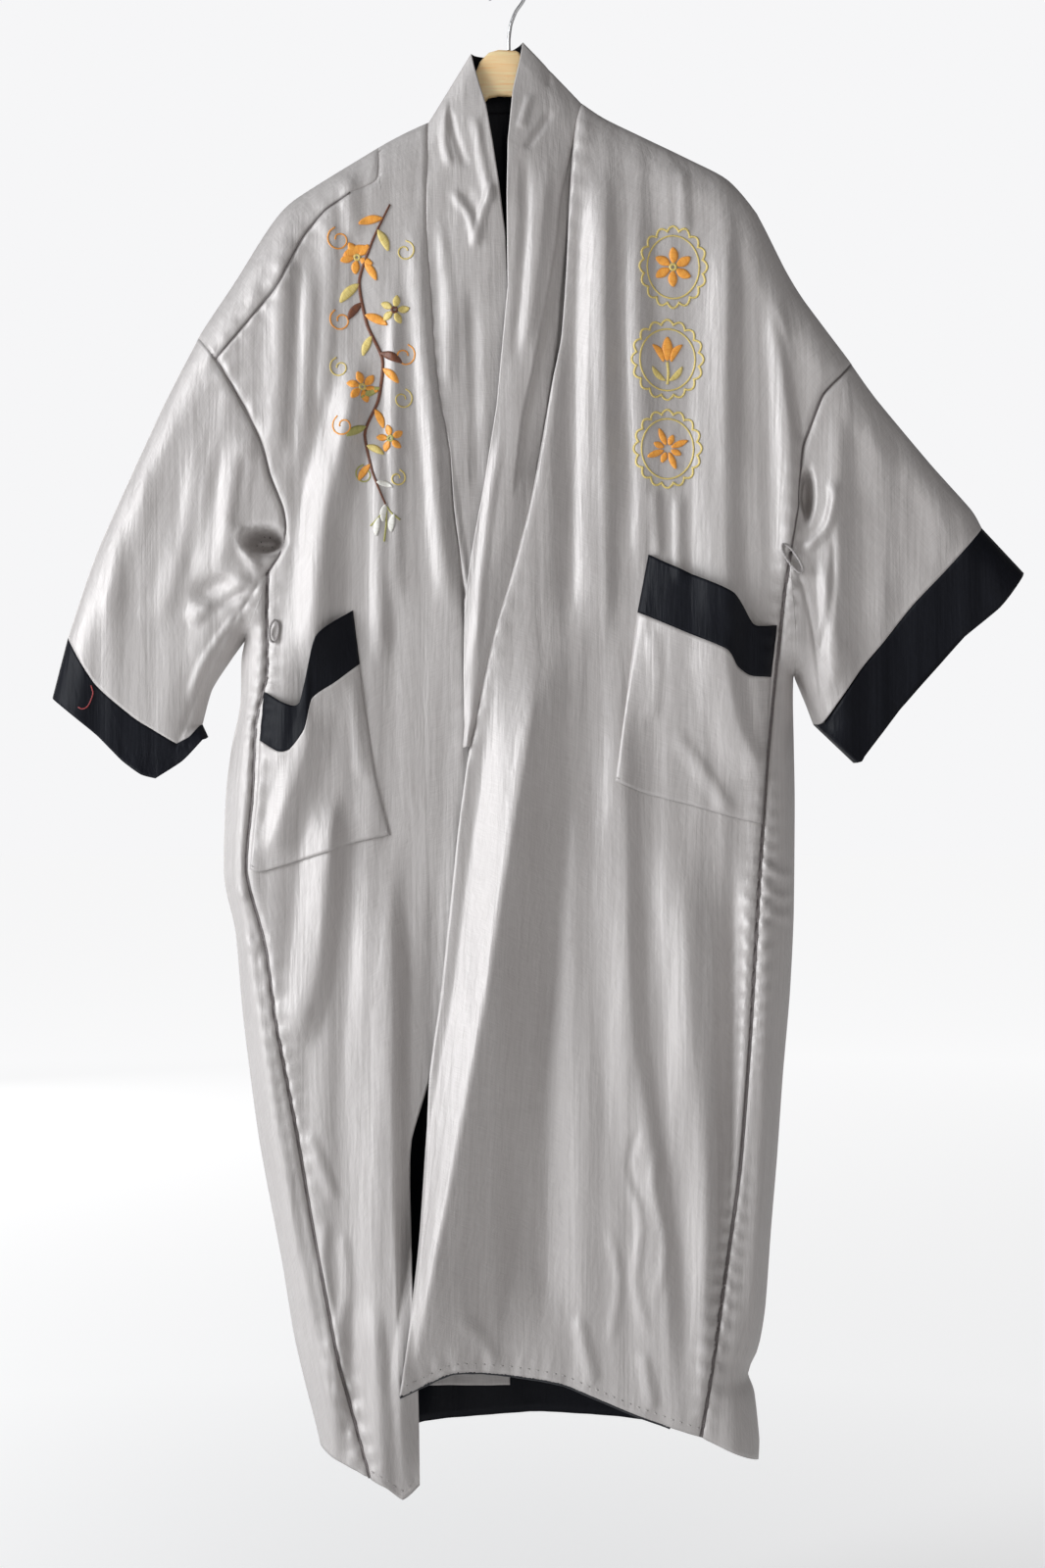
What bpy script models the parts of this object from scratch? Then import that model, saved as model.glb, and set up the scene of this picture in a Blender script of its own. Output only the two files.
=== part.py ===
"""A long kimono style robe hanging on a wooden hanger.

Origin: the inside of the hook's top, where the rail touches. X runs to the
viewer's right, Y away from the viewer, Z up. The front outline is measured on
a front drawing in drawing units, x to the right and y down; one unit is
DRAWING_UNIT millimetres. Left and right in the names are the wearer's own.
"""

import math

import bpy
import numpy as np

# Driving sizes, in millimetres unless the name says units.
DRAWING_UNIT = 0.93
HANG_X_UNITS = 519.0
HANG_Y_UNITS = -25.0
CLOTH_WALL = 1.6
LINING_WALL = 1.2
SEAM_GAP = 0.3
EDGE_ROLL = 36.0
BACK_SHARE = 0.72
BACK_LEAST = 15.0
SLEEVE_DEPTH = 24.0
OVERLAP_LIFT = 9.0
LINING_INSET = 4.5
POCKET_STEP = 2.4
CREASE_GAP = 2.2
BACK_CREASE_GAP = 0.9
WOOD_THICK = 10.0
HOOK_RADIUS = 1.65
ARMHOLE_ROWS = 8
SIDE_ROWS = 20
BAND_ROWS = 12
RIGHT_COLUMNS = 12
NECK_COLUMNS = 6
LEFT_COLUMNS = 15
FLAP_COLUMNS = 3
SLEEVE_RINGS = 8

# Half depth of the body's front at a drawing height (height, depth).
BODY_DEPTH = ((45, 12), (110, 14), (200, 24), (350, 30), (600, 34), (1000, 40), (1520, 46))

# Outline of the hung robe, in drawing units (x, y).
TOP_RIGHT_SIDE = ((440, 124), (420, 132), (385, 152), (300, 205), (275, 233), (240, 289),
                  (203, 345), (165, 419), (101, 560), (70, 650), (54, 712))
LOW_RIGHT_SIDE = ((206, 739), (216, 703), (236, 672), (252, 650), (247, 671), (246, 719),
                  (237, 762), (231, 811), (229, 895), (241, 950), (249, 1040), (265, 1162),
                  (288, 1284), (300, 1358), (311, 1406), (327, 1469), (334, 1530))
TOP_LEFT_SIDE = ((593, 106), (619, 123), (700, 162), (742, 184), (771, 218), (801, 277),
                 (820, 308), (868, 372), (893, 407), (948, 473), (990, 520), (1001, 539),
                 (1044, 585))
LOW_LEFT_SIDE = ((830, 739), (822, 718), (812, 694), (809, 684), (808, 711), (809, 760),
                 (810, 820), (809, 935), (805, 1015), (798, 1095), (792, 1180), (786, 1251),
                 (780, 1333), (773, 1373), (762, 1398), (769, 1420), (774, 1467), (773, 1530))

# Seams and edges, in drawing units, each from its top down.
RIGHT_SHOULDER = ((223, 370), (272, 313), (287, 294), (310, 248), (333, 220), (359, 202),
                  (386, 188), (390, 149), (437, 126))
RIGHT_RIDGE = ((203, 345), (240, 289), (275, 233), (300, 205), (340, 180), (390, 149), (437, 126))
LEFT_SHOULDER = ((868, 372), (820, 308), (801, 277), (771, 218), (742, 184), (700, 162),
                 (619, 123), (593, 106))
RIGHT_ARMHOLE = ((223, 370), (252, 419), (270, 457), (278, 488), (291, 521), (294, 542),
                 (288, 568), (276, 586))
LEFT_ARMHOLE = ((868, 372), (856, 386), (836, 407), (823, 440), (816, 460), (813, 490),
                (811, 520), (806, 548), (803, 566))
RIGHT_BACK_ARMHOLE = ((203, 345), (222, 400), (240, 470), (250, 540), (254, 600), (252, 650))
LEFT_BACK_ARMHOLE = ((868, 372), (846, 420), (836, 480), (826, 560), (816, 630), (809, 684))
RIGHT_UNDERARM = ((276, 586), (270, 606), (262, 628), (252, 650))
LEFT_UNDERARM = ((803, 566), (805, 600), (808, 640), (809, 684))
RIGHT_SIDE_SEAM = ((276, 586), (275, 634), (275, 690), (264, 738), (261, 811), (255, 888),
                   (274, 962), (285, 1040), (306, 1151), (323, 1249), (349, 1381), (380, 1495))
LEFT_SIDE_SEAM = ((803, 566), (797, 606), (789, 684), (780, 773), (771, 896), (762, 1050),
                  (752, 1180), (742, 1257), (724, 1380), (712, 1455))
RIGHT_BODY_EDGE = ((252, 650), (247, 671), (246, 719), (237, 762), (231, 811), (229, 895),
                   (241, 950), (249, 1040), (265, 1162), (288, 1284), (300, 1358), (311, 1406),
                   (327, 1469))
LEFT_BODY_EDGE = ((809, 684), (808, 711), (809, 760), (810, 820), (809, 935), (805, 1015),
                  (798, 1095), (792, 1180), (786, 1251), (780, 1333), (773, 1373), (762, 1398),
                  (769, 1420), (774, 1467), (773, 1485))
RIGHT_FRONT_EDGE = ((437, 126), (436, 230), (439, 280), (445, 372), (451, 418), (460, 464),
                    (464, 521), (471, 574), (476, 640), (482, 755), (479, 850), (463, 905),
                    (438, 980), (424, 1040), (417, 1085), (420, 1200), (423, 1300), (428, 1390),
                    (430, 1503))
LEFT_FRONT_EDGE = ((593, 106), (588, 126), (584, 160), (580, 214), (577, 280), (572, 349),
                   (563, 395), (552, 459), (540, 521), (522, 590), (508, 637), (497, 681),
                   (486, 735), (478, 775), (468, 850), (463, 900), (451, 1010), (440, 1090),
                   (437, 1150), (430, 1257), (420, 1345), (411, 1409))
RIGHT_HEM = ((380, 1495), (396, 1503), (413, 1517), (430, 1503))
LEFT_HEM = ((712, 1455), (681, 1445), (640, 1430), (573, 1402), (523, 1393), (466, 1388),
            (426, 1404), (411, 1409))
BACK_HEM = ((327, 1469), (380, 1478), (432, 1458), (487, 1452), (551, 1448), (620, 1452),
            (691, 1461), (733, 1465), (773, 1485))

# Neck band: the free edge beside each row of the front, as (height on the seam,
# x of the free edge, y of the free edge, half depth of the free edge).
RIGHT_BAND_FREE = ((126, 481, 57, -7), (150, 484, 70, -10), (185, 489, 88, -13),
                   (230, 496, 110, -17), (280, 503, 150, -22), (330, 509, 190, -26),
                   (380, 516, 245, -27), (430, 520, 330, -27), (480, 516, 420, -28),
                   (530, 510, 500, -29), (600, 500, 610, -31), (700, 494, 720, -33),
                   (760, 491, 775, -34))
LEFT_BAND_FREE = ((106, 533, 45, -6), (126, 530, 64, -12), (160, 523, 96, -18),
                  (214, 518, 150, -28), (280, 517, 209, -34), (349, 518, 300, -38),
                  (459, 507, 420, -42), (521, 495, 495, -43), (590, 481, 572, -43),
                  (637, 475, 620, -43), (681, 474, 690, -43), (735, 475, 742, -43),
                  (790, 472, 786, -43))

# Soft folds of the front: the crest's top and foot in drawing units, its bow
# to the viewer's right, reach to either side, and height in millimetres.
FRONT_FOLDS = (
    ("big lap fold", 560, 520, 440, 1420, 12, 45, 62, 13),
    ("left middle fold", 628, 420, 652, 1400, 0, 42, 26, 8),
    ("left outer fold", 706, 820, 704, 1430, 8, 28, 34, 9),
    ("left chest fold", 640, 150, 622, 600, 6, 34, 40, 6),
    ("left arm fold", 770, 240, 790, 540, 4, 30, 20, 8),
    ("right front fold", 350, 540, 398, 1480, 8, 36, 20, 9),
    ("right outer fold", 318, 860, 352, 1440, 0, 26, 18, 6),
    ("right chest fold", 330, 240, 342, 620, 4, 26, 22, 6),
    ("right collar fold", 418, 170, 424, 700, -4, 24, 16, 5),
    ("right sleeve fold", 262, 430, 196, 640, -6, 30, 16, 9),
    ("right sleeve outer", 196, 400, 120, 660, 0, 34, 30, 6),
    ("right sleeve mid", 222, 420, 176, 560, 0, 14, 18, 5),
    ("left sleeve fold", 850, 420, 846, 720, 4, 22, 26, 8),
    ("left sleeve outer", 900, 440, 950, 600, 0, 34, 34, 5),
)

# Hollows pressed into the front: centre, half width, half height, depth in mm.
FRONT_HOLLOWS = (
    ("right armpit", 270, 556, 26, 20, 24),
    ("left armpit", 824, 516, 17, 30, 24),
    ("right sleeve shadow", 226, 606, 30, 22, 9),
)

# Soft folds of the back, as on the front.
BACK_FOLDS = (
    ("centre fold", 520, 420, 540, 1430, 10, 46, 40, 8),
    ("right back fold", 400, 560, 410, 1430, -6, 40, 34, 7),
    ("left back fold", 660, 520, 650, 1430, 6, 42, 36, 7),
    ("right blade fold", 330, 330, 350, 800, 0, 34, 30, 6),
    ("left blade fold", 740, 330, 735, 800, 0, 34, 30, 6),
    ("right sleeve back", 230, 420, 150, 660, 0, 34, 30, 5),
    ("left sleeve back", 870, 440, 930, 640, 0, 34, 30, 5),
)


def clear_scene():
    for item in list(bpy.data.objects):
        bpy.data.objects.remove(item, do_unlink=True)


def smooth_step(value):
    value = np.clip(value, 0.0, 1.0)
    return value * value * (3.0 - 2.0 * value)


def along(points, fractions):
    """Points at these fractions of a smooth line through the listed ones."""
    base = np.array(points, dtype=float)
    fine = [base[0]]
    for index in range(len(base) - 1):
        before = base[max(index - 1, 0)]
        start = base[index]
        end = base[index + 1]
        after = base[min(index + 2, len(base) - 1)]
        for step in range(1, 9):
            t = step / 8.0
            bend = 0.5 * ((2 * start) + (end - before) * t
                          + (2 * before - 5 * start + 4 * end - after) * t * t
                          + (3 * start - before - 3 * end + after) * t ** 3)
            straight = start + (end - start) * t
            fine.append(0.6 * bend + 0.4 * straight)
    fine = np.array(fine)
    lengths = np.concatenate([[0.0], np.cumsum(np.linalg.norm(np.diff(fine, axis=0), axis=1))])
    wanted = np.asarray(fractions, dtype=float) * lengths[-1]
    return np.stack([np.interp(wanted, lengths, fine[:, k]) for k in range(fine.shape[1])], axis=1)


def outline_distance(flat):
    """Distance in millimetres from each flat point to the nearest edge line of the hung robe."""
    best = np.full(len(flat), 1.0e9)
    for line in (TOP_RIGHT_SIDE, LOW_RIGHT_SIDE, TOP_LEFT_SIDE, LOW_LEFT_SIDE):
        fine = along(line, np.linspace(0.0, 1.0, 60))
        for start, end in zip(fine[:-1], fine[1:]):
            span = end - start
            share = np.clip(((flat - start) @ span) / max(span @ span, 1e-9), 0.0, 1.0)
            gap = np.linalg.norm(flat - (start + share[:, None] * span), axis=1)
            best = np.minimum(best, gap)
    return best * DRAWING_UNIT


def fold_relief(flat, folds):
    total = np.zeros(len(flat))
    for _, top_x, top_y, foot_x, foot_y, bow, left, right, height in folds:
        start = np.array((top_x, top_y), dtype=float)
        span = np.array((foot_x, foot_y), dtype=float) - start
        length = np.linalg.norm(span)
        way = span / length
        side = np.array((way[1], -way[0]))
        share = ((flat - start) @ way) / length
        across = (flat - start) @ side - bow * (1.0 - (2.0 * share - 1.0) ** 2)
        reach = np.where(across < 0.0, -across / left, across / right)
        shape = np.where(reach < 1.0, np.cos(0.5 * math.pi * np.clip(reach, 0.0, 1.0)) ** 2, 0.0)
        fade = smooth_step((share + 0.12) / 0.24) * smooth_step((1.18 - share) / 0.2)
        total += height * shape * fade
    return total


def front_depth(flat):
    """How far the front stands from the middle plane, in millimetres."""
    heights, depths = np.array(BODY_DEPTH, dtype=float).T
    body = np.interp(flat[:, 1], heights, depths)
    beyond = np.maximum((268.0 - flat[:, 0]) / 110.0, (flat[:, 0] - 822.0) / 110.0)
    arm = smooth_step(beyond) * (1.0 - smooth_step((flat[:, 1] - 760.0) / 60.0))
    depth = body * (1.0 - arm) + SLEEVE_DEPTH * arm + fold_relief(flat, FRONT_FOLDS)
    for _, x, y, wide, high, deep in FRONT_HOLLOWS:
        reach = ((flat[:, 0] - x) / wide) ** 2 + ((flat[:, 1] - y) / high) ** 2
        depth -= deep * (1.0 - smooth_step(np.sqrt(reach)))
    near = np.clip(outline_distance(flat) / EDGE_ROLL, 0.0, 1.0)
    return depth * np.sqrt(np.clip(1.0 - (1.0 - near) ** 2, 0.0, 1.0))


def back_depth(flat):
    heights, depths = np.array(BODY_DEPTH, dtype=float).T
    body = np.interp(flat[:, 1], heights, depths)
    beyond = np.maximum((268.0 - flat[:, 0]) / 110.0, (flat[:, 0] - 822.0) / 110.0)
    arm = smooth_step(beyond) * (1.0 - smooth_step((flat[:, 1] - 760.0) / 60.0))
    plain = np.maximum(BACK_SHARE * (body * (1.0 - arm) + SLEEVE_DEPTH * arm), BACK_LEAST)
    depth = plain + fold_relief(flat, BACK_FOLDS)
    near = np.clip(outline_distance(flat) / EDGE_ROLL, 0.0, 1.0)
    return depth * np.sqrt(np.clip(1.0 - (1.0 - near) ** 2, 0.0, 1.0))


def lap_lift(flat):
    """The extra height of the left front where it laps over the right one."""
    height = flat[:, 1]
    edge = np.interp(height, [p[1] for p in LEFT_FRONT_EDGE], [p[0] for p in LEFT_FRONT_EDGE])
    across = 1.0 - smooth_step((flat[:, 0] - edge) / 110.0)
    down = smooth_step((height - 130.0) / 130.0)
    return OVERLAP_LIFT * across * down


def place(flat, depth):
    """Drawing points and a depth toward the viewer, as positions in millimetres."""
    flat = np.asarray(flat, dtype=float)
    return np.stack([(flat[:, 0] - HANG_X_UNITS) * DRAWING_UNIT, -depth,
                     -(flat[:, 1] - HANG_Y_UNITS) * DRAWING_UNIT], axis=1)


def on_front(flat):
    return place(flat, front_depth(flat))


def on_left_front(flat):
    return place(flat, front_depth(flat) + lap_lift(flat))


def on_back(flat):
    return place(flat, -back_depth(flat))


def patch(top, bottom, start, end, across, down):
    """Flat points filling four edges: rows run down, columns run from start to end."""
    u = np.asarray(across)[None, :, None]
    v = np.asarray(down)[:, None, None]
    edges = (1 - v) * top[None] + v * bottom[None] + (1 - u) * start[:, None] + u * end[:, None]
    corners = ((1 - u) * (1 - v) * top[0] + u * (1 - v) * top[-1]
               + (1 - u) * v * bottom[0] + u * v * bottom[-1])
    return edges - corners


class Net:
    """The middle surface of the sewn cloth: shared points, faces by piece."""

    def __init__(self):
        self.points = []
        self.found = {}
        self.faces = {}
        self.creases = set()

    def vertex(self, point):
        key = tuple(int(round(value * 100.0)) for value in point)
        if key not in self.found:
            self.found[key] = len(self.points)
            self.points.append(np.array(point, dtype=float))
        return self.found[key]

    def grid(self, piece, rows, flip):
        ids = [[self.vertex(point) for point in row] for row in rows]
        faces = self.faces.setdefault(piece, [])
        for upper, lower in zip(ids[:-1], ids[1:]):
            for k in range(len(upper) - 1):
                ring = [upper[k], upper[k + 1], lower[k + 1], lower[k]]
                kept = []
                for item in ring:
                    if item not in kept:
                        kept.append(item)
                if len(kept) >= 3:
                    faces.append(kept[::-1] if flip else kept)

    def normals(self, only=None):
        points = np.array(self.points)
        total = np.zeros_like(points)
        for piece, faces in self.faces.items():
            if only is not None and piece not in only:
                continue
            for face in faces:
                ring = points[face]
                middle = ring.mean(axis=0)
                push = np.zeros(3)
                for k in range(len(ring)):
                    push += np.cross(ring[k] - middle, ring[(k + 1) % len(ring)] - middle)
                for item in face:
                    total[item] += push
        return total / np.maximum(np.linalg.norm(total, axis=1), 1e-9)[:, None]


def split(face, points):
    """A four-sided face cut in two along its shorter diagonal, the same on both sides of a wall."""
    if len(face) < 4:
        return [face]
    a, b, c, d = face
    if np.linalg.norm(points[a] - points[c]) <= np.linalg.norm(points[b] - points[d]):
        return [[a, b, c], [a, c, d]]
    return [[b, c, d], [b, d, a]]


def wall_solid(name, points, normals, faces, wall, colour, roughness, inset, creases=None):
    """A closed wall of even thickness round the middle surface of one piece.

    The rim is pulled in by the inset, and a little more at the listed creases."""
    creases = creases or {}
    used = sorted({item for face in faces for item in face})
    order = {item: k for k, item in enumerate(used)}
    middle = np.array([points[item] for item in used])
    facing = np.array([normals[item] for item in used])
    sides = {}
    for face in faces:
        for k in range(len(face)):
            a = order[face[k]]
            b = order[face[(k + 1) % len(face)]]
            sides[(a, b)] = face
    rim = [(a, b) for (a, b) in sides if (b, a) not in sides]
    pull = {}
    for a, b in rim:
        edge = middle[b] - middle[a]
        inward = np.cross((facing[a] + facing[b]) * 0.5, edge)
        inward = inward / max(np.linalg.norm(inward), 1e-9)
        pull.setdefault(a, []).append(inward)
        pull.setdefault(b, []).append(inward)
    moved = middle.copy()
    for item, ways in pull.items():
        mean = sum(ways) / len(ways)
        size = np.linalg.norm(mean)
        if size > 0.2:
            corner = 1.8 if size < 0.9 else 1.0
            extra = creases.get(used[item], 0.0)
            moved[item] = middle[item] + mean / size * (inset * corner + extra) / max(size, 0.5)
    outer = moved + facing * wall * 0.5
    inner = moved - facing * wall * 0.5
    count = len(used)
    mesh_faces = []
    for face in faces:
        mesh_faces += split([order[item] for item in face], moved)
    mesh_faces += [[item + count for item in reversed(face)] for face in mesh_faces]
    mesh_faces += [[b, a, a + count, b + count] for a, b in rim]
    return mesh_object(name, np.concatenate([outer, inner]), mesh_faces, colour, roughness)


def material(name, colour, roughness, metallic=0.0):
    found = bpy.data.materials.new(name)
    found.use_nodes = True
    shader = found.node_tree.nodes["Principled BSDF"]
    shader.inputs["Base Color"].default_value = (*colour, 1.0)
    shader.inputs["Roughness"].default_value = roughness
    shader.inputs["Metallic"].default_value = metallic
    found.diffuse_color = (*colour, 1.0)
    return found


def mesh_object(name, points, faces, colour, roughness):
    mesh = bpy.data.meshes.new(name)
    mesh.from_pydata([tuple(point / 1000.0) for point in points], [], faces)
    mesh.update()
    for polygon in mesh.polygons:
        polygon.use_smooth = True
    item = bpy.data.objects.new(name, mesh)
    ROBE.objects.link(item)
    mesh.materials.append(material(name + "_material", colour, roughness))
    return item


GREY = (0.56, 0.53, 0.51)
BLACK = (0.012, 0.014, 0.024)
WOOD = (0.86, 0.62, 0.36)
STEEL = (0.62, 0.62, 0.62)


# Fractions down the back armhole, for the rows of the back above the underarm.
BACK_DROP = np.array([0.0, 0.05, 0.16, 0.32, 0.49, 0.66, 0.83, 1.0])


def flap_shares():
    """Fractions from the body's edge to the side seam, closer together at the edge."""
    return 1.0 - np.cos(0.5 * math.pi * np.arange(FLAP_COLUMNS + 1) / FLAP_COLUMNS)


def row_shares():
    """Fractions down the armhole and down the side, for the rows of the front panels."""
    arm = np.array([0.0, 0.035, 0.12, 0.25, 0.40, 0.55, 0.70, 0.85, 1.0])
    side = np.linspace(0.0, 1.0, SIDE_ROWS + 1)
    return arm, side


def height_to_point(line, heights):
    fine = along(line, np.linspace(0.0, 1.0, 400))
    order = np.argsort(fine[:, 1], kind="stable")
    return np.stack([np.interp(heights, fine[order, 1], fine[order, 0]), heights], axis=1)


def front_rows(armhole, seam, front_edge, shoulder, hem, columns, place_points):
    arm, side = row_shares()
    start = np.concatenate([along(armhole, arm), along(seam, side)[1:]])
    top_y = front_edge[0][1]
    foot_y = front_edge[-1][1]
    middle_y = 600.0
    heights = np.concatenate([top_y + (middle_y - top_y) * arm ** 1.15,
                              middle_y + (foot_y - middle_y) * side[1:]])
    end = height_to_point(front_edge, heights)
    end[0] = front_edge[0]
    end[-1] = front_edge[-1]
    top = along(shoulder, columns)
    bottom = along(hem, columns)
    down = (heights - top_y) / (foot_y - top_y)
    flat = patch(top, bottom, start, end, columns, down)
    return flat, [place_points(row) for row in flat]


def right_columns():
    return np.linspace(0.0, 1.0, RIGHT_COLUMNS + 1)


def left_columns():
    return np.linspace(0.0, 1.0, LEFT_COLUMNS + 1)


def shoulder_wrap():
    """The viewer's left shoulder seam and the ridge above it, point for point."""
    seam = along(RIGHT_SHOULDER, right_columns())
    ridge = along(RIGHT_RIDGE, right_columns())
    gap = np.linalg.norm(seam - ridge, axis=1)
    seam[gap < 6.0] = ridge[gap < 6.0]
    return seam, ridge


def build_body(net):
    """The two fronts, and the back in two halves that turn over the shoulder and round the sides."""
    seam, ridge = shoulder_wrap()
    right_flat, right_rows = front_rows(RIGHT_ARMHOLE, RIGHT_SIDE_SEAM, RIGHT_FRONT_EDGE,
                                        RIGHT_SHOULDER, RIGHT_HEM, right_columns(), on_front)
    # The first row is the shoulder seam itself, shared with the back.
    shift = seam - right_flat[0]
    for k, share in enumerate((1.0, 0.75, 0.35, 0.1)):
        right_flat[k] = right_flat[k] + shift * share
        right_rows[k] = on_front(right_flat[k])
    net.grid("front_right", right_rows, True)
    left_flat, left_rows = front_rows(LEFT_ARMHOLE, LEFT_SIDE_SEAM, LEFT_FRONT_EDGE,
                                      LEFT_SHOULDER, LEFT_HEM, left_columns(), on_left_front)
    net.grid("front_left", left_rows, False)

    _, side = row_shares()
    start = np.concatenate([along(RIGHT_BACK_ARMHOLE, BACK_DROP), along(RIGHT_BODY_EDGE, side)[1:]])
    end = np.concatenate([along(LEFT_BACK_ARMHOLE, BACK_DROP), along(LEFT_BODY_EDGE, side)[1:]])
    neck = neck_points()
    left_ridge = left_rows[0][::-1]
    top = np.concatenate([ridge, neck[1:-1], along(LEFT_SHOULDER, left_columns())[::-1]])
    lengths = np.concatenate([[0.0], np.cumsum(np.linalg.norm(np.diff(top, axis=0), axis=1))])
    across = lengths / lengths[-1]
    bottom = along(BACK_HEM, across)
    down = np.concatenate([BACK_DROP * 0.27, 0.27 + 0.73 * side[1:]])
    flat = patch(top, bottom, start, end, across, down)
    rows = [on_back(row) for row in flat]
    rows[0][:RIGHT_COLUMNS + 1] = place(ridge, np.zeros(len(ridge)))
    rows[0][-len(left_ridge):] = left_ridge
    rows[0][RIGHT_COLUMNS + 1:RIGHT_COLUMNS + NECK_COLUMNS] = neck_place(neck)[1:-1]
    first = len(BACK_DROP) - 1
    for k in range(first, len(rows)):
        rows[k][0] = place(flat[k][:1], np.zeros(1))[0]
        rows[k][-1] = place(flat[k][-1:], np.zeros(1))[0]
    centre = RIGHT_COLUMNS + NECK_COLUMNS // 2
    net.grid("back_right", [row[:centre + 1] for row in rows], False)
    net.grid("back_left", [row[centre:] for row in rows], False)

    wrap = [on_front(ridge + (seam - ridge) * share) for share in (1.0, 0.45, 0.0)]
    wrap[0] = right_rows[0]
    wrap[2] = rows[0][:RIGHT_COLUMNS + 1]
    for k in range(RIGHT_COLUMNS + 1):
        if np.allclose(seam[k], ridge[k]):
            wrap[0][k] = wrap[2][k]
            wrap[1][k] = wrap[2][k]
            right_rows[0][k] = wrap[2][k]
    net.grid("back_right", wrap[::-1], True)

    strips = []
    for piece, edge, seam_rows, underarm, flat_seam, flip in (
            ("back_right", 0, right_rows, RIGHT_UNDERARM, RIGHT_SIDE_SEAM, True),
            ("back_left", -1, left_rows, LEFT_UNDERARM, LEFT_SIDE_SEAM, False)):
        strip = []
        seam_line = along(flat_seam, side)
        for k in range(SIDE_ROWS + 1):
            edge_flat = flat[first + k][edge]
            if k == 0:
                line = along(underarm, 1.0 - flap_shares())
            else:
                line = edge_flat + (seam_line[k] - edge_flat) * flap_shares()[:, None]
            points = on_front(line)
            points[0] = rows[first + k][edge]
            points[-1] = seam_rows[ARMHOLE_ROWS + k][0]
            strip.append(points)
        strips.append(strip)
        net.grid(piece, strip, flip)
    return right_flat, right_rows, left_flat, left_rows, rows, wrap, strips


def neck_points():
    left_end = np.array(RIGHT_SHOULDER[-1], dtype=float)
    right_end = np.array(LEFT_SHOULDER[-1], dtype=float)
    found = []
    for k in range(NECK_COLUMNS + 1):
        share = k / NECK_COLUMNS
        point = left_end + (right_end - left_end) * share
        point[1] += 6.0 * math.sin(math.pi * share)
        found.append(point)
    return np.array(found)


def neck_place(neck):
    share = np.linspace(0.0, 1.0, len(neck))
    return place(neck, -BACK_LEAST * np.sin(math.pi * share) ** 0.7)


def line_shares(flat):
    lengths = np.concatenate([[0.0], np.cumsum(np.linalg.norm(np.diff(flat, axis=0), axis=1))])
    return lengths / lengths[-1]


def build_sleeve(top_line, low_line, seam_line, cuff_seam, cuff_edge, cuff_back, armhole):
    """Rings of the sleeve from the armhole to the cuff's seam, then two more to the cuff's edge.

    Each ring runs down the front, under the arm and up the back to where it began."""
    front_flat, under_flat, back_flat = armhole
    front_share = line_shares(front_flat)
    back_share = line_shares(back_flat)
    under_share = np.linspace(0.0, 1.0, len(under_flat))
    cuff_front = along(cuff_seam[0], front_share)
    cuff_under = along(cuff_seam[1], under_share)
    cuff_rear = along(cuff_back[0], back_share)
    edge_front = along(cuff_edge[0], front_share)
    edge_under = along(cuff_edge[1], under_share)
    edge_rear = along(cuff_back[1], back_share)
    shares = np.linspace(0.0, 1.0, SLEEVE_RINGS + 1)
    tops = along(top_line, shares)
    seams = along(seam_line, shares)
    lows = along(low_line, shares)
    front_step = front_share[:, None]
    under_step = under_share[:, None]
    back_step = back_share[:, None]
    rings = []
    for k, share in enumerate(shares):
        front = front_flat * (1 - share) + cuff_front * share
        under = under_flat * (1 - share) + cuff_under * share
        rear = back_flat * (1 - share) + cuff_rear * share
        front = front + (1 - front_step) * (tops[k] - front[0]) + front_step * (seams[k] - front[-1])
        under = under + (1 - under_step) * (seams[k] - under[0]) + under_step * (lows[k] - under[-1])
        rear = rear + (1 - back_step) * (lows[k] - rear[0]) + back_step * (tops[k] - rear[-1])
        rings.append((front, under, rear))
    rings.append(((cuff_front + edge_front) / 2, (cuff_under + edge_under) / 2,
                  (cuff_rear + edge_rear) / 2))
    rings.append((edge_front, edge_under, edge_rear))
    placed = []
    for front, under, rear in rings:
        a = on_front(front)
        b = on_front(under)
        c = on_back(rear)
        a[0] = place(front[:1], np.zeros(1))[0]
        b[-1] = place(under[-1:], np.zeros(1))[0]
        c[0] = b[-1]
        c[-1] = a[0]
        placed.append(np.concatenate([a, b[1:], c[1:]]))
    return placed


def finish_sleeve(net, side, rings, first_ring, start, flip):
    """Joins the rings to the armhole, and marks the fold under the arm as a crease."""
    rings[0] = first_ring
    for point in first_ring[start:start + FLAP_COLUMNS + 2]:
        net.creases.add(net.vertex(point))
    net.grid("sleeve_" + side, rings[:SLEEVE_RINGS + 1], flip)
    net.grid("cuff_" + side, rings[SLEEVE_RINGS:], flip)


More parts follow.
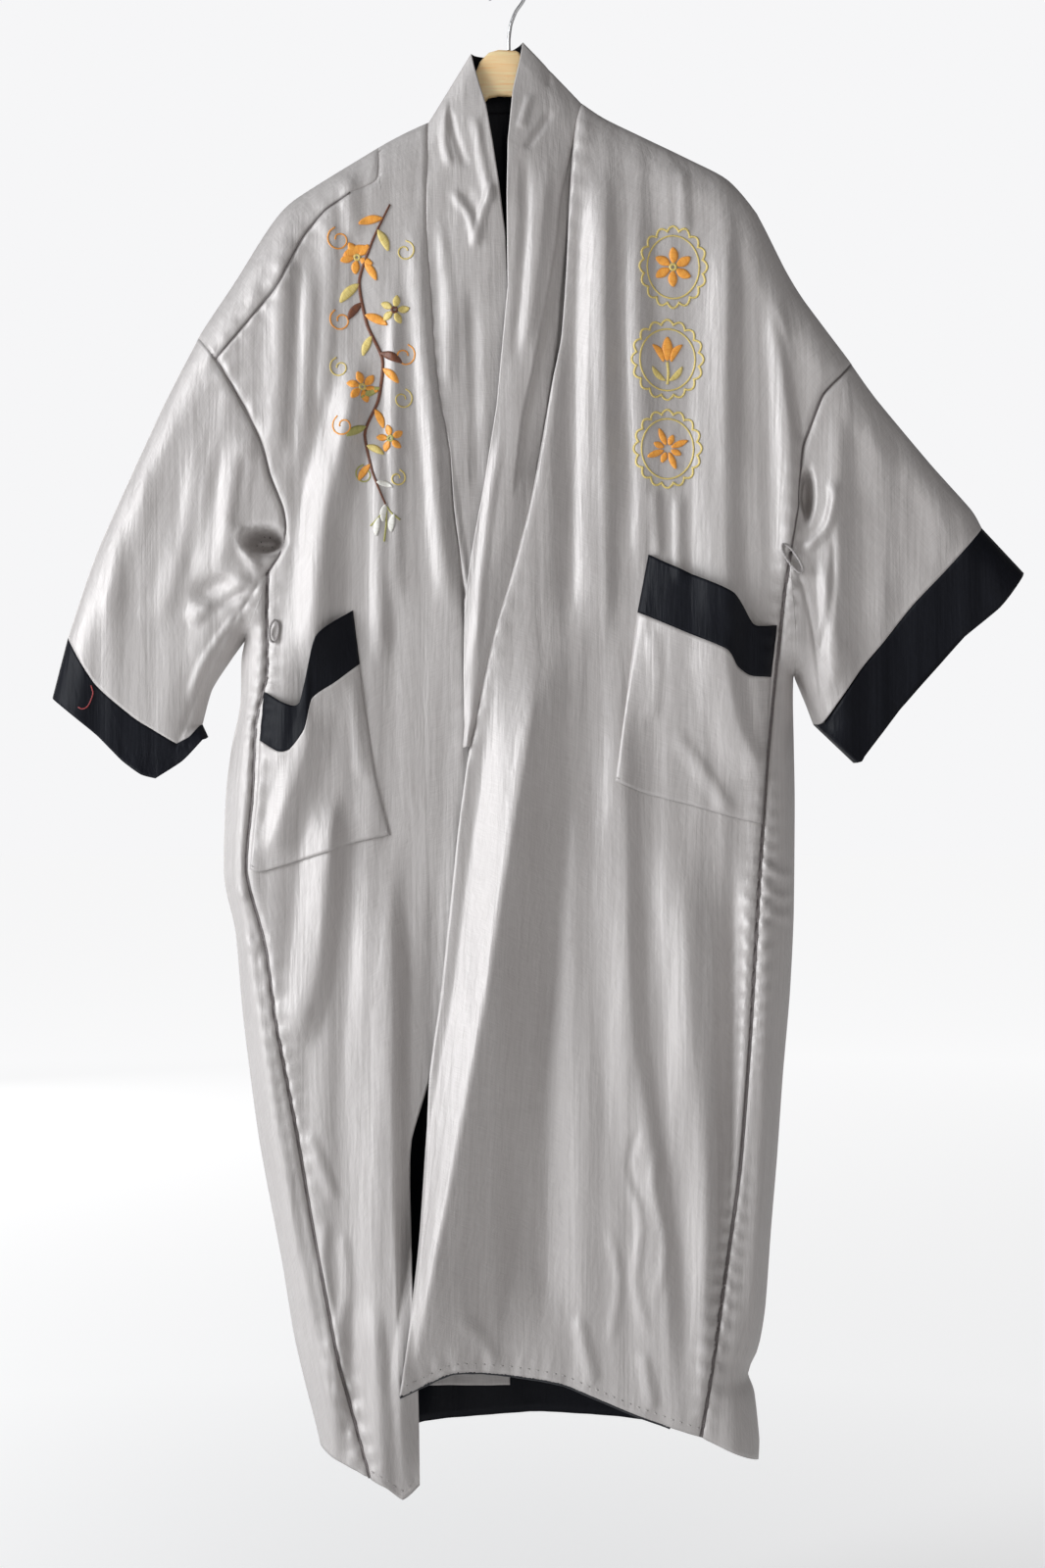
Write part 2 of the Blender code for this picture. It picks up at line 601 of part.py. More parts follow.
def build_sleeves(net, right_flat, right_rows, left_flat, left_rows, back_rows, wrap, strips):
    seam, ridge = shoulder_wrap()
    first_back = [row[0] for row in back_rows[:len(BACK_DROP)][::-1]]
    # The viewer's left sleeve starts on the ridge and crosses the shoulder seam first.
    armhole = (np.concatenate([[ridge[0]], [ridge[0] + (seam[0] - ridge[0]) * 0.45],
                               right_flat[:ARMHOLE_ROWS + 1, 0]]),
               along(RIGHT_UNDERARM, 1.0 - flap_shares()[::-1]),
               along(RIGHT_BACK_ARMHOLE, BACK_DROP)[::-1])
    rings = build_sleeve(
        ((203, 345), (165, 419), (101, 560), (70, 650)),
        ((252, 650), (236, 672), (216, 703), (206, 739)),
        ((276, 586), (258, 612), (231, 653), (206, 703), (183, 759)),
        (((70, 650), (101, 699), (139, 732), (163, 747), (183, 759)),
         ((183, 759), (196, 752), (206, 739))),
        (((54, 712), (80, 732), (104, 752), (128, 776), (148, 790), (163, 794)),
         ((163, 794), (190, 776), (212, 752))),
        (((206, 739), (150, 712), (110, 682), (70, 650)),
         ((212, 752), (160, 764), (105, 742), (54, 712))),
        armhole)
    first = [wrap[2][0], wrap[1][0]] + [row[0] for row in right_rows[:ARMHOLE_ROWS + 1]]
    first += list(strips[0][0][::-1][1:]) + first_back[1:]
    finish_sleeve(net, "right", rings, np.array(first), ARMHOLE_ROWS + 3, True)

    armhole = (left_flat[:ARMHOLE_ROWS + 1, 0],
               along(LEFT_UNDERARM, 1.0 - flap_shares()[::-1]),
               along(LEFT_BACK_ARMHOLE, BACK_DROP)[::-1])
    rings = build_sleeve(
        ((868, 372), (893, 407), (948, 473), (990, 520), (1001, 539)),
        ((809, 684), (812, 694), (822, 718), (830, 739)),
        ((803, 566), (818, 610), (828, 660), (834, 705), (837, 738)),
        (((1001, 539), (961, 584), (929, 618), (899, 656), (875, 685), (840, 737)),
         ((840, 737), (835, 739), (830, 739))),
        (((1044, 585), (1016, 621), (974, 656), (934, 699), (918, 720), (878, 772)),
         ((878, 772), (875, 777), (871, 778))),
        (((830, 739), (875, 690), (930, 622), (1001, 539)),
         ((871, 778), (920, 724), (975, 662), (1044, 585))),
        armhole)
    first = [row[0] for row in left_rows[:ARMHOLE_ROWS + 1]]
    first += list(strips[1][0][::-1][1:])
    first += [row[-1] for row in back_rows[:len(BACK_DROP)][::-1]][1:]
    finish_sleeve(net, "left", rings, np.array(first), ARMHOLE_ROWS + 1, False)


def free_edge(table, heights):
    heights_in, xs, ys, depths = np.array(table, dtype=float).T
    flat = np.stack([np.interp(heights, heights_in, xs), np.interp(heights, heights_in, ys)], axis=1)
    return flat, np.interp(heights, heights_in, depths)


def build_collar(net, right_flat, right_rows, left_flat, left_rows):
    """The neck band: up the viewer's left front, round the back of the neck, down the other front."""
    sections = []
    for flat, rows, table, rise in ((right_flat, right_rows, RIGHT_BAND_FREE, 1.0),
                                    (left_flat, left_rows, LEFT_BAND_FREE, 4.0)):
        side = []
        for k in range(BAND_ROWS + 1):
            seam_flat = flat[k][-1]
            seam = rows[k][-1]
            free_flat, free_depth = free_edge(table, np.array([seam_flat[1]]))
            free = place(free_flat, -free_depth)[0]
            line = []
            for step in range(5):
                share = step / 4.0
                point = seam + (free - seam) * share
                swell = rise * math.sin(math.pi * share) * min(1.0, k / 4.0)
                line.append(point + np.array([0.0, -swell, 0.0]))
            side.append(line)
        sections.append(side)
    neck = neck_points()
    seams = neck_place(neck)
    start = np.array(sections[0][0][-1])
    end = np.array(sections[1][0][-1])
    middle = []
    for k in range(1, NECK_COLUMNS):
        share = k / NECK_COLUMNS
        free = start + (end - start) * share
        free[1] += (BACK_LEAST + 6.0) * math.sin(math.pi * share) ** 0.6
        free[2] = free[2] - 2.0 * math.sin(math.pi * share)
        line = []
        for step in range(5):
            part = step / 4.0
            line.append(seams[k] + (free - seams[k]) * part)
        middle.append(line)
    rows = sections[0][::-1] + middle + sections[1]
    net.grid("collar", rows, False)


# Drawing heights of the lining's rows.
LINING_HEIGHTS = (112, 160, 220, 300, 400, 520, 640, 760, 880, 1000, 1100, 1200, 1300, 1380,
                  1440, 1471)


def lining():
    """The black lining just inside the back, where the neck, the front gap and the hem show it."""
    rows = []
    for height in LINING_HEIGHTS:
        share = smooth_step((height - 112) / 250.0)
        left_x = 488 - 108 * share
        right_x = 545 + 165 * share
        flat = np.stack([np.linspace(left_x, right_x, 12), np.full(12, float(height))], axis=1)
        if height > 1400:
            hem = np.interp(flat[:, 0], [p[0] for p in BACK_HEM], [p[1] for p in BACK_HEM]) - 3.0
            flat[:, 1] = np.minimum(height, hem - (1471 - height) * 0.6)
        points = on_back(flat)
        points[:, 1] -= LINING_INSET
        rows.append(points)
    return rows


def layer(name, rows, flip, wall, colour, roughness):
    net = Net()
    net.grid(name, rows, flip)
    wall_solid(name, np.array(net.points), net.normals(), net.faces[name], wall, colour,
               roughness, 0.0)


def panel_height(rows, flat):
    """How far the modelled panel stands out round each flat point, its highest within reach."""
    points = np.array(rows)
    xs = points[:, :, 0] / DRAWING_UNIT + HANG_X_UNITS
    ys = -points[:, :, 2] / DRAWING_UNIT + HANG_Y_UNITS
    corners = np.stack([xs, ys, -points[:, :, 1]], axis=2)
    a, b, c, d = corners[:-1, :-1], corners[:-1, 1:], corners[1:, 1:], corners[1:, :-1]
    triangles = np.concatenate([np.stack(group, axis=2).reshape(-1, 3, 3)
                                for group in ((a, b, c), (a, c, d), (a, b, d), (b, c, d))])
    found = np.full(len(flat), -1.0e9)
    for shift_x in (-7.0, 0.0, 7.0):
        for shift_y in (-9.0, 0.0, 9.0):
            spots = flat + np.array((shift_x, shift_y))
            for p, q, r in triangles:
                area = (q[0] - p[0]) * (r[1] - p[1]) - (r[0] - p[0]) * (q[1] - p[1])
                if abs(area) < 1e-6:
                    continue
                u = ((spots[:, 0] - p[0]) * (r[1] - p[1]) - (r[0] - p[0]) * (spots[:, 1] - p[1])) / area
                v = ((q[0] - p[0]) * (spots[:, 1] - p[1]) - (spots[:, 0] - p[0]) * (q[1] - p[1])) / area
                inside = (u >= -1e-6) & (v >= -1e-6) & (u + v <= 1.0 + 1e-6)
                height = p[2] + u * (q[2] - p[2]) + v * (r[2] - p[2])
                found = np.where(inside, np.maximum(found, height), found)
    return found


def pocket(side, band_top, band_foot, foot, inner, outer, gape, front, rows_band, rows_bag):
    """A patch pocket: band and bag on the front panel, standing off at the mouth."""
    columns = np.linspace(0.0, 1.0, 9)
    top = along(band_top, columns)
    mid = along(band_foot, columns)
    low = along(foot, columns)
    band = [top + (mid - top) * share for share in np.linspace(0.0, 1.0, rows_band)]
    sides_in = along(inner, np.linspace(0.0, 1.0, rows_bag))
    sides_out = along(outer, np.linspace(0.0, 1.0, rows_bag))
    bag = patch(mid, low, sides_in, sides_out, columns, np.linspace(0.0, 1.0, rows_bag))
    swell = np.sin(math.pi * columns) ** 0.8

    def stand(row, share):
        reach = POCKET_STEP + gape * swell * (1.0 - smooth_step(share)) ** 1.3
        return place(row, panel_height(front, row) + reach)

    total = rows_band - 1 + rows_bag - 1
    band_rows = [stand(row, k / total) for k, row in enumerate(band)]
    bag_rows = [stand(row, (k + rows_band - 1) / total) for k, row in enumerate(bag)]
    net = Net()
    net.grid("pocket_band_" + side, band_rows, True)
    net.grid("pocket_" + side, bag_rows, True)
    points = np.array(net.points)
    normals = net.normals()
    wall_solid("pocket_band_" + side, points, normals, net.faces["pocket_band_" + side], CLOTH_WALL,
               BLACK, 0.4, SEAM_GAP / 2)
    wall_solid("pocket_" + side, points, normals, net.faces["pocket_" + side], CLOTH_WALL,
               GREY, 0.35, SEAM_GAP / 2)


# Hanger: distance from its middle, top on the viewer's left, top on the viewer's
# right and height of the wood, in drawing units. It hangs a little lower on the left.
WOOD_SECTIONS = ((0, 50, 50, 45), (10, 51, 52, 47), (20, 54, 66, 46), (29, 63, 78, 47),
                 (37, 82, 90, 44), (50, 107, 104, 40), (65, 126, 117, 37), (82, 136, 127, 36),
                 (105, 146, 135, 34), (135, 159, 147, 31), (175, 184, 166, 27),
                 (205, 203, 182, 21), (214, 211, 189, 13))
WOOD_MIDDLE = 518.5


def build_hanger():
    columns = [(-dx, top, top + high) for dx, top, _, high in WOOD_SECTIONS[:0:-1]]
    columns += [(dx, top, top + high) for dx, _, top, high in WOOD_SECTIONS]
    points = []
    for dx, top, low in columns:
        half = WOOD_THICK * 0.5
        for share, side in ((0.0, 0.4), (0.12, 1.0), (0.9, 1.0), (1.0, 0.5),
                            (1.0, -0.5), (0.9, -1.0), (0.12, -1.0), (0.0, -0.4)):
            flat = np.array([[WOOD_MIDDLE + dx, top + (low - top) * share]])
            points.append(place(flat, np.array([half * side]))[0])
    faces = []
    count = len(columns)
    for k in range(count - 1):
        for step in range(8):
            a = k * 8 + step
            b = k * 8 + (step + 1) % 8
            faces.append([a, b, b + 8, a + 8])
    faces.append([7 - k for k in range(8)])
    faces.append([(count - 1) * 8 + k for k in range(8)])
    mesh_object("hanger_wood", np.array(points), faces, WOOD, 0.45)


HOOK_LINE = ((519, 49.7), (519, 40), (521, 25), (526, 12), (533, 2), (537.5, -8), (535, -19),
             (527, -25), (519, -26.8), (509, -25), (501, -18), (498, -8), (500, 0))


def wire(name, line, depths, radius, colour, roughness, metallic, closed=False, resolution=3):
    curve = bpy.data.curves.new(name, "CURVE")
    curve.dimensions = "3D"
    curve.bevel_depth = radius / 1000.0
    curve.bevel_resolution = resolution
    curve.use_fill_caps = True
    spline = curve.splines.new("POLY")
    points = place(np.array(line, dtype=float), np.array(depths, dtype=float)) / 1000.0
    spline.points.add(len(points) - 1)
    for slot, point in zip(spline.points, points):
        slot.co = (*point, 1.0)
    spline.use_cyclic_u = closed
    item = bpy.data.objects.new(name, curve)
    ROBE.objects.link(item)
    curve.materials.append(material(name + "_material", colour, roughness, metallic))
    return item


def belt_loop(name, centre, wide, high, front, stand, tilt):
    turns = np.linspace(0.0, 2.0 * math.pi, 14, endpoint=False)
    line = []
    for turn in turns:
        x = 0.5 * wide * math.cos(turn)
        y = 0.5 * high * math.sin(turn)
        line.append((centre[0] + x * math.cos(tilt) - y * math.sin(tilt),
                     centre[1] + x * math.sin(tilt) + y * math.cos(tilt)))
    flat = np.array(line)
    depth = np.max(-front(flat)[:, 1]) + stand
    wire(name, line, np.full(len(line), depth), 1.3, GREY, 0.5, 0.0, closed=True, resolution=1)


def main():
    net = Net()
    right_flat, right_rows, left_flat, left_rows, back_rows, wrap, strips = build_body(net)
    build_sleeves(net, right_flat, right_rows, left_flat, left_rows, back_rows, wrap, strips)
    build_collar(net, right_flat, right_rows, left_flat, left_rows)
    points = np.array(net.points)
    normals = net.normals()
    for name, gap, crease_gap in (("front_left", 0.5, None), ("front_right", 0.5, None),
                                  ("back_left", 0.5, BACK_CREASE_GAP),
                                  ("back_right", 0.5, BACK_CREASE_GAP),
                                  ("sleeve_left", 1.0, CREASE_GAP), ("sleeve_right", 1.0, CREASE_GAP),
                                  ("collar", 1.0, None)):
        facing = normals.copy()
        creases = {}
        if crease_gap:
            own = net.normals(only=[name])
            used = {item for face in net.faces[name] for item in face}
            for item in net.creases & used:
                facing[item] = own[item]
                creases[item] = crease_gap
        wall_solid(name, points, facing, net.faces[name], CLOTH_WALL, GREY, 0.35, SEAM_GAP * gap,
                   creases)
    for name in ("cuff_left", "cuff_right"):
        wall_solid(name, points, normals, net.faces[name], CLOTH_WALL, BLACK, 0.4, SEAM_GAP)
    rows = lining()
    layer("back_lining", rows, True, LINING_WALL, BLACK, 0.4)
    patch_rows = []
    for height in (1393, 1406, 1419):
        flat = np.stack([np.linspace(430, 520, 5), np.full(5, float(height))], axis=1)
        points_row = on_back(flat)
        points_row[:, 1] -= LINING_INSET + LINING_WALL + 1.8
        patch_rows.append(points_row)
    layer("lining_patch", patch_rows, True, 1.0, GREY, 0.4)
    pocket("left", ((660, 569), (699, 588), (744, 609), (764, 639), (775, 641), (789, 640)),
           ((649, 627), (693, 646), (737, 665), (748, 682), (762, 691), (783, 692)),
           ((626, 797), (659, 810), (706, 822), (744, 833), (774, 840)),
           ((649, 627), (638, 711), (626, 797)), ((783, 692), (778, 770), (774, 840)),
           16.0, left_rows, 3, 7)
    pocket("right", ((273, 707), (295, 719), (310, 718), (327, 652), (362, 625)),
           ((269, 756), (288, 767), (300, 765), (315, 745), (322, 714), (346, 697), (369, 679)),
           ((259, 885), (271, 888), (327, 871), (366, 858), (400, 851)),
           ((269, 756), (266, 811), (259, 885)), ((369, 679), (375, 728), (385, 791), (400, 851)),
           16.0, right_rows, 3, 7)
    build_hanger()
    wire("hanger_hook", HOOK_LINE, np.zeros(len(HOOK_LINE)), HOOK_RADIUS, STEEL, 0.3, 1.0)
    belt_loop("belt_loop_right", (283, 646), 9, 22, on_front, 2.2, 0.1)
    belt_loop("belt_loop_left", (804, 573), 10, 34, on_left_front, 1.3, -0.6)


clear_scene()
ROBE = bpy.data.collections.new("kimono_robe")
bpy.context.scene.collection.children.link(ROBE)
main()
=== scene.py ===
import math

import bpy
import numpy as np
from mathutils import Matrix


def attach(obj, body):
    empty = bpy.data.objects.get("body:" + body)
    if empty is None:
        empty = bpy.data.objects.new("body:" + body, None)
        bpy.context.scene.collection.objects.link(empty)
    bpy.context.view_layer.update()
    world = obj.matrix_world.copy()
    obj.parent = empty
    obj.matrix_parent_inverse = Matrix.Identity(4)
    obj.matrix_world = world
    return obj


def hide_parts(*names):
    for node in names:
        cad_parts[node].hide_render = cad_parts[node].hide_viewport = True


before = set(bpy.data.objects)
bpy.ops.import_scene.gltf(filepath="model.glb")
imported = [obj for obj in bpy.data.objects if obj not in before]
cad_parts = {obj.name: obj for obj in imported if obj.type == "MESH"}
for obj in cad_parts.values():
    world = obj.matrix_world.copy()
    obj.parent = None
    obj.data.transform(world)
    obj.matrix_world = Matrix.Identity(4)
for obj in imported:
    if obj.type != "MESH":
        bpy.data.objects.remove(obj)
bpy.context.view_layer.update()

# The front drawing: x to the viewer's right, y down, one unit is UNIT millimetres.
UNIT = 0.93
HANG_X = 519.0
HANG_Y = -25.0
MM = 1000.0            # millimetres in a metre
WALL = 1.1             # thickness of the cloth, mm
EDGE_ROLL = 36.0       # how far in from the outline the body rounds off, mm
BACK_SHARE = 0.72      # depth of the back beside the front's
BACK_LEAST = 15.0      # least depth of the back, mm
SLEEVE_DEPTH = 24.0    # half depth of the sleeves, mm
OVERLAP_LIFT = 9.0     # how far the outer front stands off the inner one, mm
OVERLAP_REACH = 110.0  # how far from its edge the outer front comes down again, units
OVERLAP_TOP = 130.0    # height on the drawing where the lap begins, and its fade
LINING_INSET = 4.5     # how far the lining lies inside the back, mm
MERGE = 0.05           # points of a shell closer than this are one, mm
LINE_STEPS = 16        # short steps between two points of a smooth line
ROUNDNESS = 0.6        # share of the curve in a smooth line, the rest is straight
ARMPIT_X = (268.0, 822.0)  # where the arms begin
ARM_BLEND = 110.0      # how far out from there the body turns into the arm, units
ARM_FOOT, ARM_FOOT_FADE = 760.0, 60.0  # height where the sleeves end, and its fade
SEAM_MARGIN = 26.0     # how far a seam's groove and puckers can reach, units
GROOVE_REACH = 2.9     # half width of a seam's groove, mm
PUCKER_REACH = 11.0    # how far the puckers run out from the seam, mm
PUCKER_START = 2.5     # how close to the seam they begin, mm

# Height on the drawing and half depth of the body there.
BODY_DEPTH = ((45, 12), (110, 14), (200, 24), (350, 30), (600, 34), (1000, 40), (1520, 46))

# Outline of the hung robe.
TOP_RIGHT_SIDE = ((440, 124), (420, 132), (385, 152), (300, 205), (275, 233), (240, 289),
                  (203, 345), (165, 419), (101, 560), (70, 650), (54, 712))
LOW_RIGHT_SIDE = ((206, 739), (216, 703), (236, 672), (252, 650), (247, 671), (246, 719),
                  (237, 762), (231, 811), (229, 895), (241, 950), (249, 1040), (265, 1162),
                  (288, 1284), (300, 1358), (311, 1406), (327, 1469), (334, 1530))
TOP_LEFT_SIDE = ((593, 106), (619, 123), (700, 162), (742, 184), (771, 218), (801, 277),
                 (820, 308), (868, 372), (893, 407), (948, 473), (990, 520), (1001, 539),
                 (1044, 585))
LOW_LEFT_SIDE = ((830, 739), (822, 718), (812, 694), (809, 684), (808, 711), (809, 760),
                 (810, 820), (809, 935), (805, 1015), (798, 1095), (792, 1180), (786, 1251),
                 (780, 1333), (773, 1373), (762, 1398), (769, 1420), (774, 1467), (773, 1530))

# Seams and edges, each from its top down.
RIGHT_SHOULDER = ((223, 370), (272, 313), (287, 294), (310, 248), (333, 220), (359, 202),
                  (386, 188), (390, 149), (437, 126))
RIGHT_RIDGE = ((203, 345), (240, 289), (275, 233), (300, 205), (340, 180), (390, 149), (437, 126))
LEFT_SHOULDER = TOP_LEFT_SIDE[7::-1]
RIGHT_ARMHOLE = ((223, 370), (252, 419), (270, 457), (278, 488), (291, 521), (294, 542),
                 (288, 568), (276, 586))
LEFT_ARMHOLE = ((868, 372), (856, 386), (836, 407), (823, 440), (816, 460), (813, 490),
                (811, 520), (806, 548), (803, 566))
RIGHT_BACK_ARMHOLE = ((203, 345), (222, 400), (240, 470), (250, 540), (254, 600), (252, 650))
LEFT_BACK_ARMHOLE = ((868, 372), (846, 420), (836, 480), (826, 560), (816, 630), (809, 684))
RIGHT_UNDERARM = ((276, 586), (270, 606), (262, 628), (252, 650))
LEFT_UNDERARM = ((803, 566), (805, 600), (808, 640), (809, 684))
RIGHT_SIDE_SEAM = ((276, 586), (275, 634), (275, 690), (264, 738), (261, 811), (255, 888),
                   (274, 962), (285, 1040), (306, 1151), (323, 1249), (349, 1381), (380, 1495))
LEFT_SIDE_SEAM = ((803, 566), (797, 606), (789, 684), (780, 773), (771, 896), (762, 1050),
                  (752, 1180), (742, 1257), (724, 1380), (712, 1455))
RIGHT_BODY_EDGE = LOW_RIGHT_SIDE[3:-1]
LEFT_BODY_EDGE = LOW_LEFT_SIDE[3:-1] + ((773, 1485),)
RIGHT_FRONT_EDGE = ((437, 126), (436, 230), (439, 280), (445, 372), (451, 418), (460, 464),
                    (464, 521), (471, 574), (476, 640), (482, 755), (479, 850), (471, 905),
                    (463, 980), (454, 1040), (440, 1096), (422, 1156), (420, 1200), (423, 1300), (428, 1390),
                    (430, 1503))
LEFT_FRONT_EDGE = ((593, 106), (588, 126), (584, 160), (580, 214), (577, 280), (572, 349),
                   (563, 395), (552, 459), (540, 521), (522, 590), (508, 637), (497, 681),
                   (486, 735), (478, 775), (468, 850), (463, 900), (451, 1010), (440, 1090),
                   (437, 1150), (430, 1257), (420, 1345), (411, 1409))
RIGHT_HEM = ((380, 1495), (396, 1503), (413, 1517), (430, 1503))
LEFT_HEM = ((712, 1455), (681, 1445), (640, 1430), (573, 1402), (523, 1393), (466, 1388),
            (426, 1404), (411, 1409))
BACK_HEM = ((327, 1469), (380, 1478), (432, 1458), (487, 1452), (551, 1448), (620, 1452),
            (691, 1461), (733, 1465), (773, 1485))

# The neck band's free edge: height on the seam, then x, y and half depth of the edge.
RIGHT_BAND_FREE = ((126, 481, 57, -7), (150, 484, 70, -10), (185, 489, 88, -13),
                   (230, 496, 110, -17), (280, 503, 150, -22), (330, 509, 190, -26),
                   (380, 516, 245, -27), (430, 520, 330, -27), (480, 516, 420, -28),
                   (530, 510, 500, -29), (600, 500, 610, -31), (700, 494, 720, -33),
                   (760, 491, 775, -34), (800, 490, 800, -34))
LEFT_BAND_FREE = ((106, 533, 45, -6), (126, 530, 64, -12), (160, 523, 96, -18),
                  (214, 518, 150, -28), (280, 517, 209, -34), (349, 518, 300, -38),
                  (459, 507, 420, -42), (521, 495, 495, -43), (590, 481, 572, -43),
                  (637, 475, 620, -43), (681, 474, 690, -43), (735, 475, 742, -43),
                  (790, 472, 786, -43))

